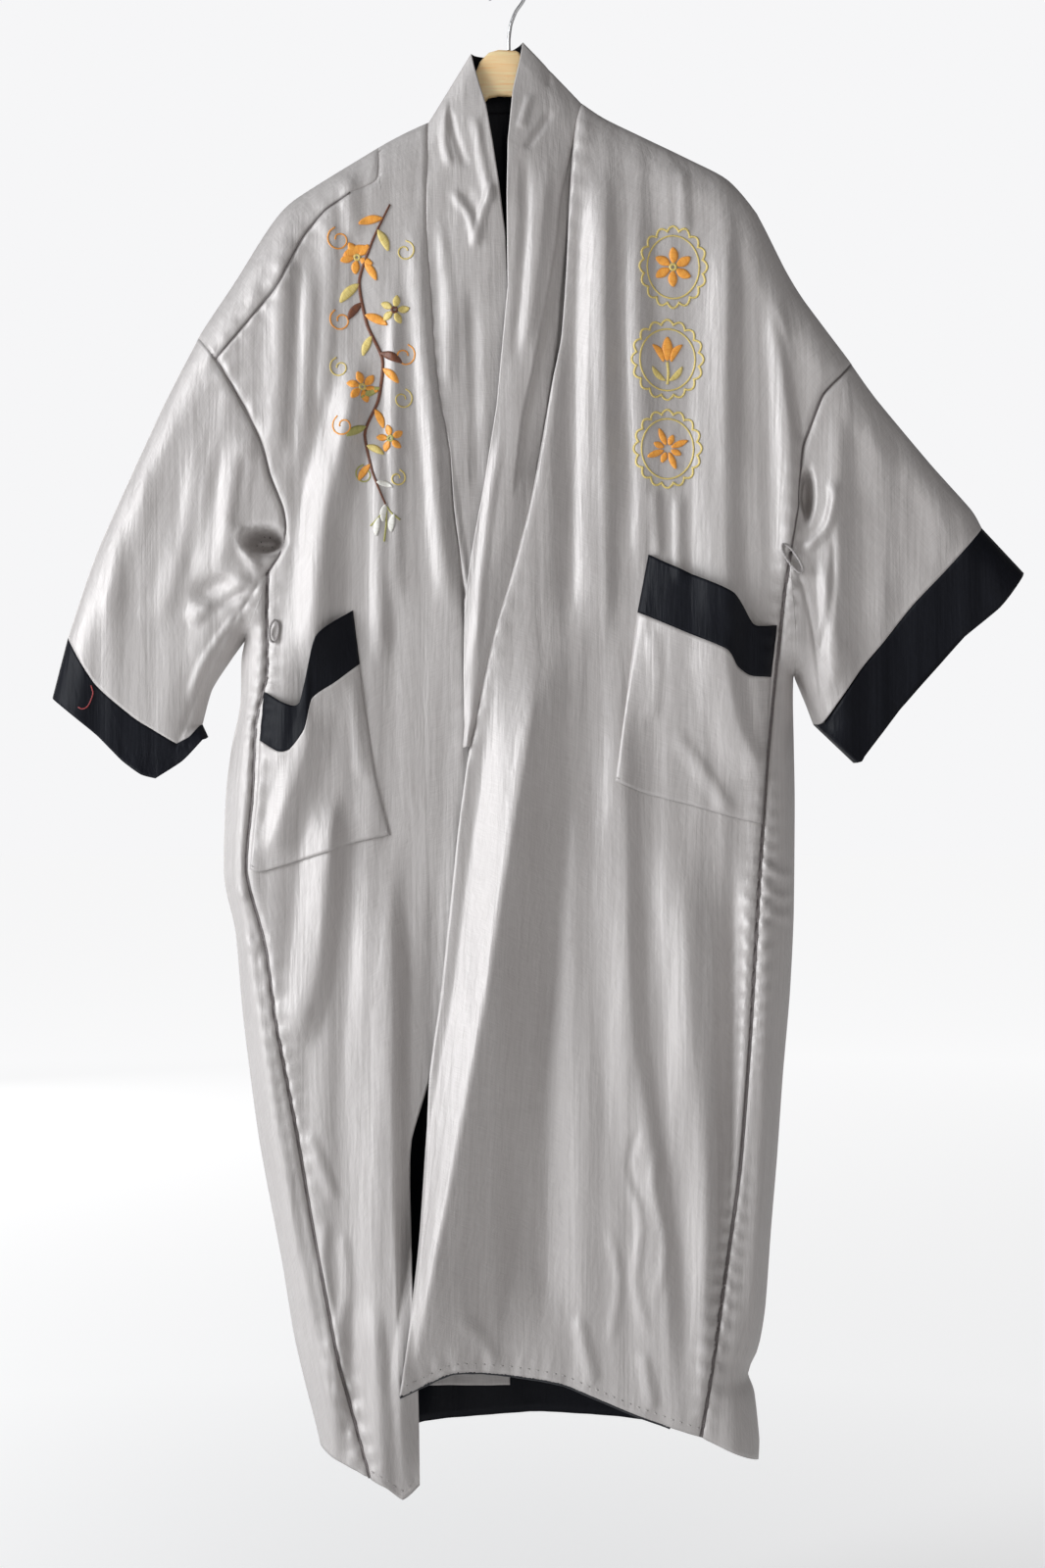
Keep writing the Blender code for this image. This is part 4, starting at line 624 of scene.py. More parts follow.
# Rows of the fronts and the back: on the armhole, and below it on the side.
ARM_STEPS = 100
BACK_ARM_STEPS = 80
SIDE_STEPS = 190
SIDE_SHARE = np.linspace(0.0, 1.0, SIDE_STEPS + 1)
ARM_LEVEL = 600.0      # height of the underarm on the front edge
BACK_ARM_SHARE = 0.27  # share of the back's height on the armhole
RIGHT_COLUMNS = np.linspace(0.0, 1.0, 71)
LEFT_COLUMNS = np.linspace(0.0, 1.0, 101)
NECK_COLUMNS = 18
CUFF_RINGS = 16
CENTRE = len(RIGHT_COLUMNS) - 1 + NECK_COLUMNS // 2


def start_steps(count, power):
    """Shares from 0 to 1, closer together at the start."""
    return np.linspace(0.0, 1.0, count) ** power


def resample(points, count, mix):
    """The same line with more points toward its two ends."""
    t = np.linspace(0.0, 1.0, count)
    return along(points, (1.0 - mix) * t + mix * (0.5 - 0.5 * np.cos(math.pi * t)))


def height_to_point(line, heights):
    """Points of a falling line at these heights."""
    fine = along(line, np.linspace(0.0, 1.0, 600))
    order = np.argsort(fine[:, 1], kind="stable")
    return np.stack([np.interp(heights, fine[order, 1], fine[order, 0]), heights], axis=1)


def front_flat(armhole, seam, front_edge, shoulder, hem, columns):
    """Flat grid of a front panel, from its armhole and side seam to its front edge."""
    arm = start_steps(ARM_STEPS + 1, 1.35)
    start = np.concatenate([along(armhole, arm), along(seam, SIDE_SHARE)[1:]])
    top_y = front_edge[0][1]
    foot_y = front_edge[-1][1]
    heights = np.concatenate([top_y + (ARM_LEVEL - top_y) * arm ** 1.15,
                              ARM_LEVEL + (foot_y - ARM_LEVEL) * SIDE_SHARE[1:]])
    end = height_to_point(front_edge, heights)
    end[0] = front_edge[0]
    end[-1] = front_edge[-1]
    down = (heights - top_y) / (foot_y - top_y)
    return patch(along(shoulder, columns), along(hem, columns), start, end, columns, down)


# The right front's top edge lies on the shoulder seam where that is clear of the ridge.
ridge = along(RIGHT_RIDGE, RIGHT_COLUMNS)
shoulder_seam = along(RIGHT_SHOULDER, RIGHT_COLUMNS)
clear = smooth_step((np.linalg.norm(shoulder_seam - ridge, axis=1) - 3.0) / 6.0)[:, None]
shoulder_seam = ridge + (shoulder_seam - ridge) * clear
right_flat = front_flat(RIGHT_ARMHOLE, RIGHT_SIDE_SEAM, RIGHT_FRONT_EDGE, RIGHT_SHOULDER, RIGHT_HEM,
                        RIGHT_COLUMNS)
fall = 1.0 - smooth_step(np.linspace(0.0, 1.0, ARM_STEPS + 1) * 2.4)
right_flat[:ARM_STEPS + 1] += (shoulder_seam - right_flat[0])[None] * fall[:, None, None]
left_flat = front_flat(LEFT_ARMHOLE, LEFT_SIDE_SEAM, LEFT_FRONT_EDGE, LEFT_SHOULDER, LEFT_HEM, LEFT_COLUMNS)
front_right = shell("front_right_satin", [(spread(right_flat, front_depth), True)], WALL, GREY, BLACK)
front_left = shell("front_left_satin", [(spread(left_flat, left_front_depth), False)], WALL, GREY, BLACK)

# The neck's back edge, from the end of the shoulder on the viewer's left to that on the right.
left_end, right_end = np.array((RIGHT_SHOULDER[-1], LEFT_SHOULDER[-1]), dtype=float)
neck_share = np.linspace(0.0, 1.0, NECK_COLUMNS + 1)
neck = left_end + (right_end - left_end) * neck_share[:, None]
neck[:, 1] += 6.0 * np.sin(math.pi * neck_share)
neck_points = place(neck, -BACK_LEAST * np.sin(math.pi * neck_share) ** 0.7)

# The back, over the shoulder ridge and round the sides to the side seams.
drop = start_steps(BACK_ARM_STEPS + 1, 1.3)
back_start, back_end = [
    np.concatenate([along(armhole, drop), along(body_edge, SIDE_SHARE)[1:]])
    for armhole, body_edge in ((RIGHT_BACK_ARMHOLE, RIGHT_BODY_EDGE), (LEFT_BACK_ARMHOLE, LEFT_BODY_EDGE))]
back_top = np.concatenate([ridge, neck[1:-1], along(LEFT_SHOULDER, np.linspace(0.0, 1.0, 81))[::-1]])
run = distances(back_top)
across = run / run[-1]
down = np.concatenate([drop * BACK_ARM_SHARE, BACK_ARM_SHARE + (1.0 - BACK_ARM_SHARE) * SIDE_SHARE[1:]])
back_flat = patch(back_top, along(BACK_HEM, across), back_start, back_end, across, down)
back_points = spread(back_flat, behind)
back_points[0, :len(ridge), 1] = 0.0
back_points[0, len(ridge):len(ridge) + NECK_COLUMNS - 1] = neck_points[1:-1]
span = slice(len(ridge) - 1, len(ridge) + NECK_COLUMNS)
for row, fade in ((1, 0.75), (2, 0.5), (3, 0.3), (4, 0.14)):
    back_points[row, span, 1] += (back_points[0, span, 1] - back_points[row, span, 1]) * fade
back_points[BACK_ARM_STEPS:, (0, -1), 1] = 0.0
wrap_share = (1.0 - np.cos(0.5 * math.pi * np.linspace(0.0, 1.0, 17)))[:, None, None]
wrap_points = spread(ridge[None] * (1.0 - wrap_share) + shoulder_seam[None] * wrap_share, front_depth)
wrap_points[0, :, 1] = 0.0
turn = np.linspace(0.0, 1.0, 29)
turn = 0.5 * (1.0 - np.cos(0.5 * math.pi * turn)) + 0.5 * turn


def side_strip(edge, seam_line, underarm):
    """The back's strip round one side, from the robe's edge forward to the side seam."""
    seam_side = along(seam_line, SIDE_SHARE)
    edge_flat = back_flat[BACK_ARM_STEPS:, edge]
    strip_flat = edge_flat[:, None] + (seam_side - edge_flat)[:, None] * turn[None, :, None]
    under = along(underarm, 1.0 - turn)
    lift = under - (edge_flat[0] + (seam_side[0] - edge_flat[0]) * turn[:, None])
    strip_flat[0] = under
    for row in range(1, 7):
        strip_flat[row] += lift * (1.0 - row / 7.0)
    points = spread(strip_flat, front_depth)
    points[:, 0] = back_points[BACK_ARM_STEPS:, edge]
    return points


right_strip = side_strip(0, RIGHT_SIDE_SEAM, RIGHT_UNDERARM)
left_strip = side_strip(-1, LEFT_SIDE_SEAM, LEFT_UNDERARM)
back_left = shell("back_left_satin", [(back_points[:, CENTRE:], False), (left_strip, False)], WALL, GREY, BLACK)
back_right = shell("back_right_satin", [(back_points[:, :CENTRE + 1], False), (wrap_points, True),
                                        (right_strip, True)], WALL, GREY, BLACK)


def ring_points(front, under, rear):
    """Rings of a sleeve, placed from three flat grids that meet at their edges."""
    front, under, rear = spread(front, front_depth), spread(under, front_depth), spread(rear, behind)
    front[:, 0, 1] = 0.0
    under[:, -1, 1] = 0.0
    rear[:, 0] = under[:, -1]
    rear[:, -1] = front[:, 0]
    return np.concatenate([front, under[:, 1:], rear[:, 1:]], axis=1)


def sleeve_rings(arm_lines, top_line, low_line, seam_line, cuff_lines, rim_lines, rings):
    """Grids of the sleeve and its cuff: each row is a ring from the top line round and back."""
    shares = np.linspace(0.0, 1.0, rings + 1)
    tops, seams, lows = [along(line, shares) for line in (top_line, seam_line, low_line)]
    s = shares[:, None, None]
    t = np.linspace(0.0, 1.0, CUFF_RINGS + 1)[:, None, None]
    sleeve = []
    cuff = []
    for arm, at_cuff, at_rim, first, last in zip(arm_lines, cuff_lines, rim_lines,
                                                 (tops, seams, lows), (seams, lows, tops)):
        columns = np.linspace(0.0, 1.0, len(arm))
        at_cuff = along(at_cuff, columns)
        at_rim = along(at_rim, columns)
        a = columns[None, :, None]
        grid = arm[None] * (1 - s) + at_cuff[None] * s
        sleeve.append(grid + (1 - a) * (first - grid[:, 0])[:, None] + a * (last - grid[:, -1])[:, None])
        cuff.append(at_cuff[None] * (1 - t) + at_rim[None] * t)
    return ring_points(*sleeve), ring_points(*cuff)


right_sleeve, right_cuff = sleeve_rings(
    (resample((RIGHT_RIDGE[0],) + RIGHT_ARMHOLE, 56, 0.5), resample(RIGHT_UNDERARM, 22, 0.5),
     resample(RIGHT_BACK_ARMHOLE[::-1], 52, 0.6)),
    TOP_RIGHT_SIDE[6:10], LOW_RIGHT_SIDE[3::-1], ((276, 586), (258, 612), (231, 653), (206, 703), (183, 759)),
    (((70, 650), (101, 699), (139, 732), (163, 747), (183, 759)), ((183, 759), (196, 752), (206, 739)),
     ((206, 739), (150, 712), (110, 682), (70, 650))),
    (((54, 712), (80, 732), (104, 752), (128, 776), (148, 790), (163, 794)),
     ((163, 794), (190, 776), (212, 752)), ((212, 752), (160, 764), (105, 742), (54, 712))), 84)
left_sleeve, left_cuff = sleeve_rings(
    (resample(LEFT_ARMHOLE, 50, 0.5), resample(LEFT_UNDERARM, 26, 0.5),
     resample(LEFT_BACK_ARMHOLE[::-1], 56, 0.6)),
    TOP_LEFT_SIDE[7:12], LOW_LEFT_SIDE[3::-1], ((803, 566), (818, 610), (828, 660), (834, 705), (837, 738)),
    (((1001, 539), (961, 584), (929, 618), (899, 656), (875, 685), (840, 737)),
     ((840, 737), (835, 739), (830, 739)), ((830, 739), (875, 690), (930, 622), (1001, 539))),
    (((1044, 585), (1016, 621), (974, 656), (934, 699), (918, 720), (878, 772)),
     ((878, 772), (875, 777), (871, 778)), ((871, 778), (920, 724), (975, 662), (1044, 585))), 78)
sleeve_right = shell("sleeve_right_satin", [(right_sleeve, True)], WALL, GREY, BLACK)
sleeve_left = shell("sleeve_left_satin", [(left_sleeve, False)], WALL, GREY, BLACK)
cuff_right = shell("cuff_right_satin", [(right_cuff, True)], WALL, BLACK, BLACK)
cuff_left = shell("cuff_left_satin", [(left_cuff, False)], WALL, BLACK, BLACK)

# Wrinkles and pressed folds of the neck band, in the same columns as the front's folds.
BAND_FOLDS = (
    ("neck wrinkle a", 2.6, 7, 8, 5, 6, 0.5, (456, 100), (454, 130), (455, 154), (462, 178)),
    ("neck wrinkle b", -2.4, 6, 7, 6, 7, 0.5, (458, 112), (464, 140), (477, 178)),
    ("neck wrinkle c", 2.4, 8, 9, 6, 8, 0.5, (484, 116), (493, 171), (500, 205), (505, 218)),
    ("neck fold arm a", 3.0, 8, 6, 6, 8, 0.6, (460, 196), (470, 212), (480, 226), (486, 262)),
    ("neck fold arm b", 2.6, 6, 6, 7, 8, 0.6, (505, 186), (498, 206), (491, 226), (487, 256)),
    ("neck fold foot", -1.6, 9, 12, 9, 12, 0.3, (474, 196), (482, 214), (486, 236)),
    ("right band streak", 2.4, 10, 14, 8, 12, 0.3, (448, 222), (455, 270), (460, 330), (458, 410)),
    ("right band trough", -2.0, 9, 12, 10, 12, 0.3, (480, 280), (484, 360), (486, 440), (488, 520)),
    ("right band fold", 2.2, 6, 6, 7, 8, 0.5, (450, 430), (458, 480), (468, 550), (477, 612)),
    ("left top wrinkle a", 2.0, 6, 6, 7, 8, 0.5, (542, 98), (536, 118), (530, 138)),
    ("left top wrinkle b", -2.0, 7, 6, 6, 6, 0.5, (564, 116), (550, 138), (535, 160)),
    ("left pinch", -1.6, 5, 5, 5, 5, 0.4, (560, 66), (559, 78), (560, 92)),
    ("left band roll", 2.2, 12, 14, 10, 12, 0.2, (556, 170), (552, 230), (545, 300), (534, 370)),
    ("left band hollow", -2.6, 10, 12, 8, 10, 0.3, (538, 150), (536, 230), (531, 310), (524, 390)),
    ("inner band light", 2.2, 9, 8, 8, 8, 0.3, (514, 430), (503, 500), (494, 570), (488, 640), (482, 690)),
)

# The neck band: points down and across it, the edges of the two layers on the viewer's right
# and the pressed crease on the left.
BAND_ROWS = 210
BAND_STEPS = 51
BAND_WELT = ((593, 106), (584, 147), (571, 208), (567, 252), (559, 299), (544, 380), (533, 431), (523, 516))
BAND_STRIP = ((581, 174), (581, 211), (577, 252), (571, 313), (567, 363), (554, 448), (540, 549), (523, 610))
BAND_CREASE = ((452, 440), (458, 490), (466, 550), (476, 610))


def ledge(flat, line, step, width):
    """A small step in height on crossing a line, higher on its left."""
    gap, share, side = reach(flat, line, 40)
    fade = smooth_step(share / 0.1) * smooth_step((1.0 - share) / 0.1)
    crossed = smooth_step(0.5 - np.sign(side) * gap / width)
    return step * (crossed - 1.0) * fade


def band_side(seam_edge, table, foot, rise, seam_depth):
    """One side of the neck band, from its seam on the front to its free edge."""
    data = np.array(table, dtype=float).T
    top = data[0, 0]
    heights = top + (foot - top) * start_steps(BAND_ROWS, 1.15)
    seam_flat = height_to_point(seam_edge, heights)
    seam_flat[0] = seam_edge[0]
    free_x, free_y, free_depth = [np.interp(heights, data[0], row) for row in data[1:]]
    seam = place(seam_flat, seam_depth(seam_flat))
    seam[0, 1] = 0.0
    free = place(np.stack([free_x, free_y], axis=1), -free_depth)
    share = np.linspace(0.0, 1.0, BAND_STEPS)[None, :, None]
    line = seam[:, None] + (free - seam)[:, None] * share
    start = np.clip(np.arange(BAND_ROWS) / (BAND_ROWS * 0.3), 0.0, 1.0)
    line[..., 1] -= rise * np.sin(math.pi * share[..., 0]) * start[:, None]
    return line


def band_details(points, fronted):
    """The band with its strips or its crease, its wrinkles and a little give."""
    flat = np.stack([points[..., 0] / UNIT + HANG_X, -points[..., 2] / UNIT + HANG_Y], axis=-1).reshape(-1, 2)
    if fronted:
        extra = ledge(flat, BAND_WELT, 4.2, 1.8) + ledge(flat, BAND_STRIP, 2.8, 1.8)
    else:
        gap, _, _ = reach(flat, BAND_CREASE, 30)
        extra = -1.4 * np.exp(-(gap / 2.0) ** 2)
    give = 0.5 * np.sin(flat[:, 1] / 17.0 + flat[:, 0] / 9.0) * np.sin(flat[:, 1] / 41.0)
    extra = extra + fold_relief(flat, BAND_FOLDS) + give + 0.25 * soft_waves(flat, 5.0)
    points = points.copy()
    points[..., 1] -= extra.reshape(points.shape[:2])
    return points


right_band = band_details(band_side(RIGHT_FRONT_EDGE, RIGHT_BAND_FREE, 780.6, 1.5, front_depth), False)
left_band = band_details(band_side(LEFT_FRONT_EDGE, LEFT_BAND_FREE, 761.8, 4.0, left_front_depth), True)
middle_share = neck_share[1:-1]
neck_free = right_band[0, -1] + (left_band[0, -1] - right_band[0, -1]) * middle_share[:, None]
neck_free[:, 1] += (BACK_LEAST + 6.0) * np.sin(math.pi * middle_share) ** 0.6
neck_free[:, 2] -= 2.0 * np.sin(math.pi * middle_share)
share = np.linspace(0.0, 1.0, BAND_STEPS)[None, :, None]
middle_band = neck_points[1:-1][:, None] + (neck_free - neck_points[1:-1])[:, None] * share
collar_points = np.concatenate([right_band[::-1], middle_band, left_band])
collar = shell("collar_satin", [(collar_points, False)], WALL, GREY, BLACK)

# The black lining that shows at the neck, in the front gap and along the hem, and its patch.
LINING_TOP, LINING_LOW, LINING_FOOT = 112, 1400, 1471  # heights on the drawing
LINING_WALL, PATCH_WALL = 0.9, 0.8  # mm
PATCH_LIFT = 3.0       # how far the patch stands off the lining, mm
heights = np.concatenate([LINING_TOP + (LINING_LOW - LINING_TOP) * start_steps(150, 1.2),
                          [1412, 1424, 1436, 1448, 1460, LINING_FOOT]])
lining_share = smooth_step((heights - LINING_TOP) / 250.0)
left_x = 488 - 108 * lining_share
right_x = 545 + 165 * lining_share
step = np.linspace(0.0, 1.0, 61)
lining_flat = np.stack([left_x[:, None] + (right_x - left_x)[:, None] * step[None],
                        heights[:, None] + 0.0 * step[None]], axis=2)
hem_y = crossing(BACK_HEM, lining_flat[..., 0], 0) - 3.0
low_rows = heights > LINING_LOW
lining_flat[low_rows, :, 1] = np.minimum(lining_flat[low_rows, :, 1],
                                         hem_y[low_rows] - (LINING_FOOT - heights[low_rows])[:, None] * 0.6)
lining_points = spread(lining_flat, behind)
lining_points[..., 1] -= LINING_INSET
back_lining = shell("back_lining_satin", [(lining_points, True)], LINING_WALL, BLACK, BLACK)
patch_flat = np.stack(np.meshgrid(np.linspace(430, 520, 31), np.linspace(1393, 1419, 12)), axis=2)
patch_points = spread(patch_flat, behind)
patch_points[..., 1] -= LINING_INSET + PATCH_LIFT
lining_patch = shell("lining_patch_satin", [(patch_points, True)], PATCH_WALL, GREY, GREY)

# Patch pockets: the drawn lines of the band and the bag, and the marks of their folds.
POCKET_GAPE = 16.0     # how far the mouth stands open, mm
POCKET_STAND = 2.2     # how far the sewn edges stand off the front, mm
BAND_POINTS = 19
BAG_POINTS = 46
LEFT_POCKET_FOOT = ((626, 797), (659, 810), (706, 822), (744, 833), (774, 840))
RIGHT_POCKET_FOOT = ((259, 885), (271, 888), (327, 871), (366, 858), (400, 851))


def pocket(side, band_top, band_foot, foot, inner, outer, panel_depth, marks):
    """The pocket's band and bag, laid on its front panel and standing off at the mouth."""
    columns = np.linspace(0.0, 1.0, 49)
    top, mid, low = [along(line, columns) for line in (band_top, band_foot, foot)]
    t = np.linspace(0.0, 1.0, BAND_POINTS)[:, None, None]
    down = np.linspace(0.0, 1.0, BAG_POINTS)
    inner = along((band_foot[0], *inner, foot[0]), down)
    outer = along((band_foot[-1], *outer, foot[-1]), down)
    bag = patch(mid, low, inner, outer, columns, down)
    flat = np.concatenate([top[None] * (1 - t) + mid[None] * t, bag[1:]])
    shape = flat.shape[:2]
    share = np.concatenate([np.linspace(0.0, 0.25, BAND_POINTS), np.linspace(0.25, 1.0, BAG_POINTS)[1:]])
    swell = np.sin(math.pi * columns) ** 0.8
    gape = POCKET_STAND + POCKET_GAPE * swell[None] * ((1.0 - smooth_step(share)) ** 1.3)[:, None]
    rim = np.minimum(columns, 1.0 - columns)[None] * 160.0
    own = fold_relief(flat.reshape(-1, 2), marks).reshape(shape) - 1.2 * np.exp(-(rim / 4.0) ** 2)
    points = place(flat, panel_depth(flat.reshape(-1, 2)).reshape(shape) + gape + own)
    band_piece = shell("pocket_band_" + side + "_satin", [(points[:BAND_POINTS], True)], WALL, BLACK, BLACK)
    bag_piece = shell("pocket_" + side + "_satin", [(points[BAND_POINTS - 1:], True)], WALL, GREY, BLACK)
    return band_piece, bag_piece


pocket_band_left, pocket_left = pocket(
    "left", ((660, 569), (699, 588), (744, 609), (764, 639), (775, 641), (789, 640)),
    ((649, 627), (693, 646), (737, 665), (748, 682), (762, 691), (783, 692)),
    LEFT_POCKET_FOOT, ((638, 711),), ((778, 770),), left_front_depth, (
        ("gape", 7, 40, 30, 20, 16, 0.4, (728, 640), (740, 700), (752, 750), (778, 800)),
        ("diagonal", 3, 14, 14, 10, 10, 0.4, (684, 742), (704, 772), (722, 796), (744, 832)),
        ("mouth crease", 2.5, 12, 12, 10, 10, 0.3, (664, 640), (668, 690), (664, 740))))
pocket_band_right, pocket_right = pocket(
    "right", ((273, 707), (295, 719), (310, 718), (327, 652), (362, 625)),
    ((269, 756), (288, 767), (300, 765), (315, 745), (322, 714), (346, 697), (369, 679)),
    RIGHT_POCKET_FOOT, ((266, 811),), ((375, 728), (385, 791)), front_depth, (
        ("gape", 6, 20, 18, 26, 26, 0.4, (326, 716), (318, 760), (300, 810), (276, 880)),
        ("mouth crease", 2.5, 10, 10, 12, 12, 0.3, (362, 690), (366, 740), (372, 800))))

# Hanger wood: distance from its middle, top on the viewer's left, top on the right, height.
WOOD_SECTIONS = ((10, 51, 52, 47), (20, 54, 66, 46), (29, 63, 78, 47), (37, 82, 90, 44),
                 (50, 107, 104, 40), (65, 126, 117, 37), (82, 136, 127, 36), (105, 146, 135, 34),
                 (135, 159, 147, 31), (175, 184, 166, 27), (205, 203, 182, 21), (214, 211, 189, 13))
WOOD_MIDDLE = 518.5    # x on the drawing
WOOD_TOP, WOOD_HIGH = 50, 45  # top and height of the bar before it is shaped
WOOD_THICK = 9.4       # mm
WOOD_ROUND = 0.0034    # rounding of the edges, m
HOOK_LINE = ((519, 51), (519, 40), (521, 25), (526, 12), (533, 2), (537.5, -8), (535, -19),
             (527, -25), (519, -26.8), (509, -25), (501, -18), (498, -8), (500, 0))
HOOK_RADIUS = 1.65     # mm


def select_points(piece, wanted):
    """Selects the points of an edit mesh that pass a test."""
    bpy.ops.mesh.select_mode(type="VERT")
    bpy.ops.mesh.select_all(action="DESELECT")
    bpy.ops.object.mode_set(mode="OBJECT")
    for point in piece.data.vertices:
        point.select = bool(wanted(point.co))
    bpy.ops.object.mode_set(mode="EDIT")
    bpy.ops.mesh.select_mode(type="VERT")


def finish_piece(piece, name, smooth_angle):
    """Shades a modelled piece smooth, settles its size and names it."""
    bpy.ops.object.mode_set(mode="OBJECT")
    bpy.ops.object.shade_smooth_by_angle(angle=math.radians(smooth_angle))
    bpy.ops.object.transform_apply(location=True, rotation=True, scale=True)
    piece.name = name
    piece.data.name = name
    return piece


def hanger_wood():
    """A bar cut across at each section, lifted into the hanger's slope and rounded."""
    bpy.ops.object.select_all(action="DESELECT")
    top = place(np.array([WOOD_MIDDLE, WOOD_TOP]), 0.0) / MM
    high = WOOD_HIGH * UNIT / MM
    bpy.ops.mesh.primitive_cube_add(size=1.0, location=(top[0], 0.0, top[2] - high / 2.0))
    piece = bpy.context.object
    piece.scale = (2.0 * WOOD_SECTIONS[-1][0] * UNIT / MM, WOOD_THICK / MM, high)
    bpy.ops.object.transform_apply(location=True, rotation=True, scale=True)
    bpy.ops.object.mode_set(mode="EDIT")
    for away, _, _, _ in WOOD_SECTIONS[:-1]:
        for sign in (-1.0, 1.0):
            bpy.ops.mesh.select_all(action="SELECT")
            spot = top[0] + sign * away * UNIT / MM
            bpy.ops.mesh.bisect(plane_co=(spot, 0.0, 0.0), plane_no=(1.0, 0.0, 0.0))
    for away, left_top, right_top, tall in WOOD_SECTIONS:
        for sign, level in ((-1.0, left_top), (1.0, right_top)):
            spot = top[0] + sign * away * UNIT / MM
            for upper in (False, True):
                drop = (level - WOOD_TOP) if upper else (level + tall - WOOD_TOP - WOOD_HIGH)
                select_points(piece, lambda at: abs(at.x - spot) < 1e-5
                              and (at.z > top[2] - high / 2.0) == upper)
                bpy.ops.transform.translate(value=(0.0, 0.0, -drop * UNIT / MM))
    bpy.ops.mesh.select_all(action="DESELECT")
    bpy.ops.object.mode_set(mode="OBJECT")
    round_off = piece.modifiers.new("round", "BEVEL")
    round_off.width = WOOD_ROUND
    round_off.segments = 4
    round_off.limit_method = "ANGLE"
    round_off.angle_limit = math.radians(50.0)
    bpy.ops.object.modifier_apply(modifier="round")
    return finish_piece(piece, "hanger_bar", 40.0)


def hanger_hook():
    """A disc at the foot of the hook, pushed out along its line and turned at each step."""
    bpy.ops.object.select_all(action="DESELECT")
    spots = place(along(HOOK_LINE, np.linspace(0.0, 1.0, 61)), 0.0) / MM
    bpy.ops.mesh.primitive_circle_add(vertices=20, radius=HOOK_RADIUS / MM, fill_type="NGON",
                                      location=tuple(spots[0]))
    piece = bpy.context.object
    bpy.ops.object.transform_apply(location=True, rotation=True, scale=True)
    bpy.ops.object.mode_set(mode="EDIT")
    bpy.ops.mesh.select_all(action="SELECT")
    heading = 0.0
    for k in range(1, len(spots)):
        way = spots[k] - spots[k - 1]
        bpy.ops.mesh.extrude_region_move(TRANSFORM_OT_translate={"value": tuple(way)})
        ahead = spots[min(k + 1, len(spots) - 1)] - spots[k - 1]
        wanted = math.atan2(ahead[0], ahead[2])
        turned = (wanted - heading + math.pi) % (2.0 * math.pi) - math.pi
        bpy.ops.transform.rotate(value=-turned, orient_axis="Y", center_override=tuple(spots[k]))
        heading = wanted
    bpy.ops.mesh.select_all(action="SELECT")
    bpy.ops.mesh.normals_make_consistent(inside=False)
    return finish_piece(piece, "hanger_wire_hook", 50.0)


def wood_material():
    """Pale wood with its grain along the hanger."""
    material, tree, shader = tree_of("pale_beech")
    spot = node(tree, "ShaderNodeTexCoord", {}).outputs["Object"]
    grain = noise(tree, spot, (14.0, 160.0, 220.0), 5.0, Roughness=0.65, Distortion=1.2)
    ramp = node(tree, "ShaderNodeValToRGB", {"Fac": grain})
    stops = ((0.32, (0.97, 0.60, 0.27, 1.0)), (0.62, (1.0, 0.80, 0.46, 1.0)))
    for stop, (position, colour) in zip(ramp.color_ramp.elements, stops):
        stop.position = position
        stop.color = colour
    set_inputs(tree, shader, {"Base Color": ramp.outputs["Color"], "Roughness": 0.42, "Coat Weight": 0.25,
                              "Normal": bumped(tree, grain, 0.25, 0.0004)})
    return material


def steel_material():
    """Bright wire with small dull marks."""
    material, tree, shader = tree_of("bright_steel")
    marks = noise(tree, node(tree, "ShaderNodeTexCoord", {}).outputs["Object"], 420.0, 3.0)
    set_inputs(tree, shader, {"Roughness": ranged(tree, marks, 0.0, 1.0, 0.2, 0.42),
                              "Base Color": (0.60, 0.60, 0.61, 1.0), "Metallic": 1.0})
    return material


def thread_material(name, dark, light, pitch):
    """Embroidery thread: fine stitches side by side, each with its own tone."""
    material, tree, shader = tree_of(name)
    cloth = node(tree, "ShaderNodeUVMap", {}, uv_map="cloth").outputs["UV"]
    strands = noise(tree, cloth, (90.0, 1000.0 / pitch, 1.0), 1.0)
    set_inputs(tree, shader, {
        "Base Color": two_tone(tree, ranged(tree, strands, 0.35, 0.65), dark, light),
        "Normal": bumped(tree, strands, 0.7, 0.0006), "Roughness": 0.38, "Sheen Weight": 0.3})
    return material


THREAD_LIFT = 0.15     # how far the needlework stands off the cloth, mm
STRAND = 1.3           # thickness of the thread loops, mm
THREAD_WALL = 0.4      # mm
STITCH_LIFT = 0.1      # how far the running stitches stand off the cloth, mm


def ribbon(middle, half, rise, depth_of):
    """A raised band of thread along a flat line, with its half width at each point."""
    way = np.gradient(middle, axis=0)
    way /= np.maximum(np.linalg.norm(way, axis=1), 1e-9)[:, None]
    out = np.stack([-way[:, 1], way[:, 0]], axis=1)
    across = np.linspace(-1.0, 1.0, 5)
    flat = middle[:, None] + out[:, None] * half[:, None, None] * across[None, :, None]
    base = depth_of(flat.reshape(-1, 2)).reshape(flat.shape[:2])
    crown = rise * np.sqrt(np.clip(1.0 - 0.9 * across ** 2, 0.0, 1.0))
    return place(flat, base + WALL * 0.5 + THREAD_LIFT + crown[None]), False


def strip(line, wide, rise, depth_of, steps, taper=0.0):
    """A line of thread, thinner toward its ends by the taper."""
    share = np.linspace(0.0, 1.0, steps + 1)
    half = 0.5 * wide * (1.0 - taper * (2.0 * np.abs(share - 0.5)) ** 2.2)
    return ribbon(along(line, share), half, rise, depth_of)


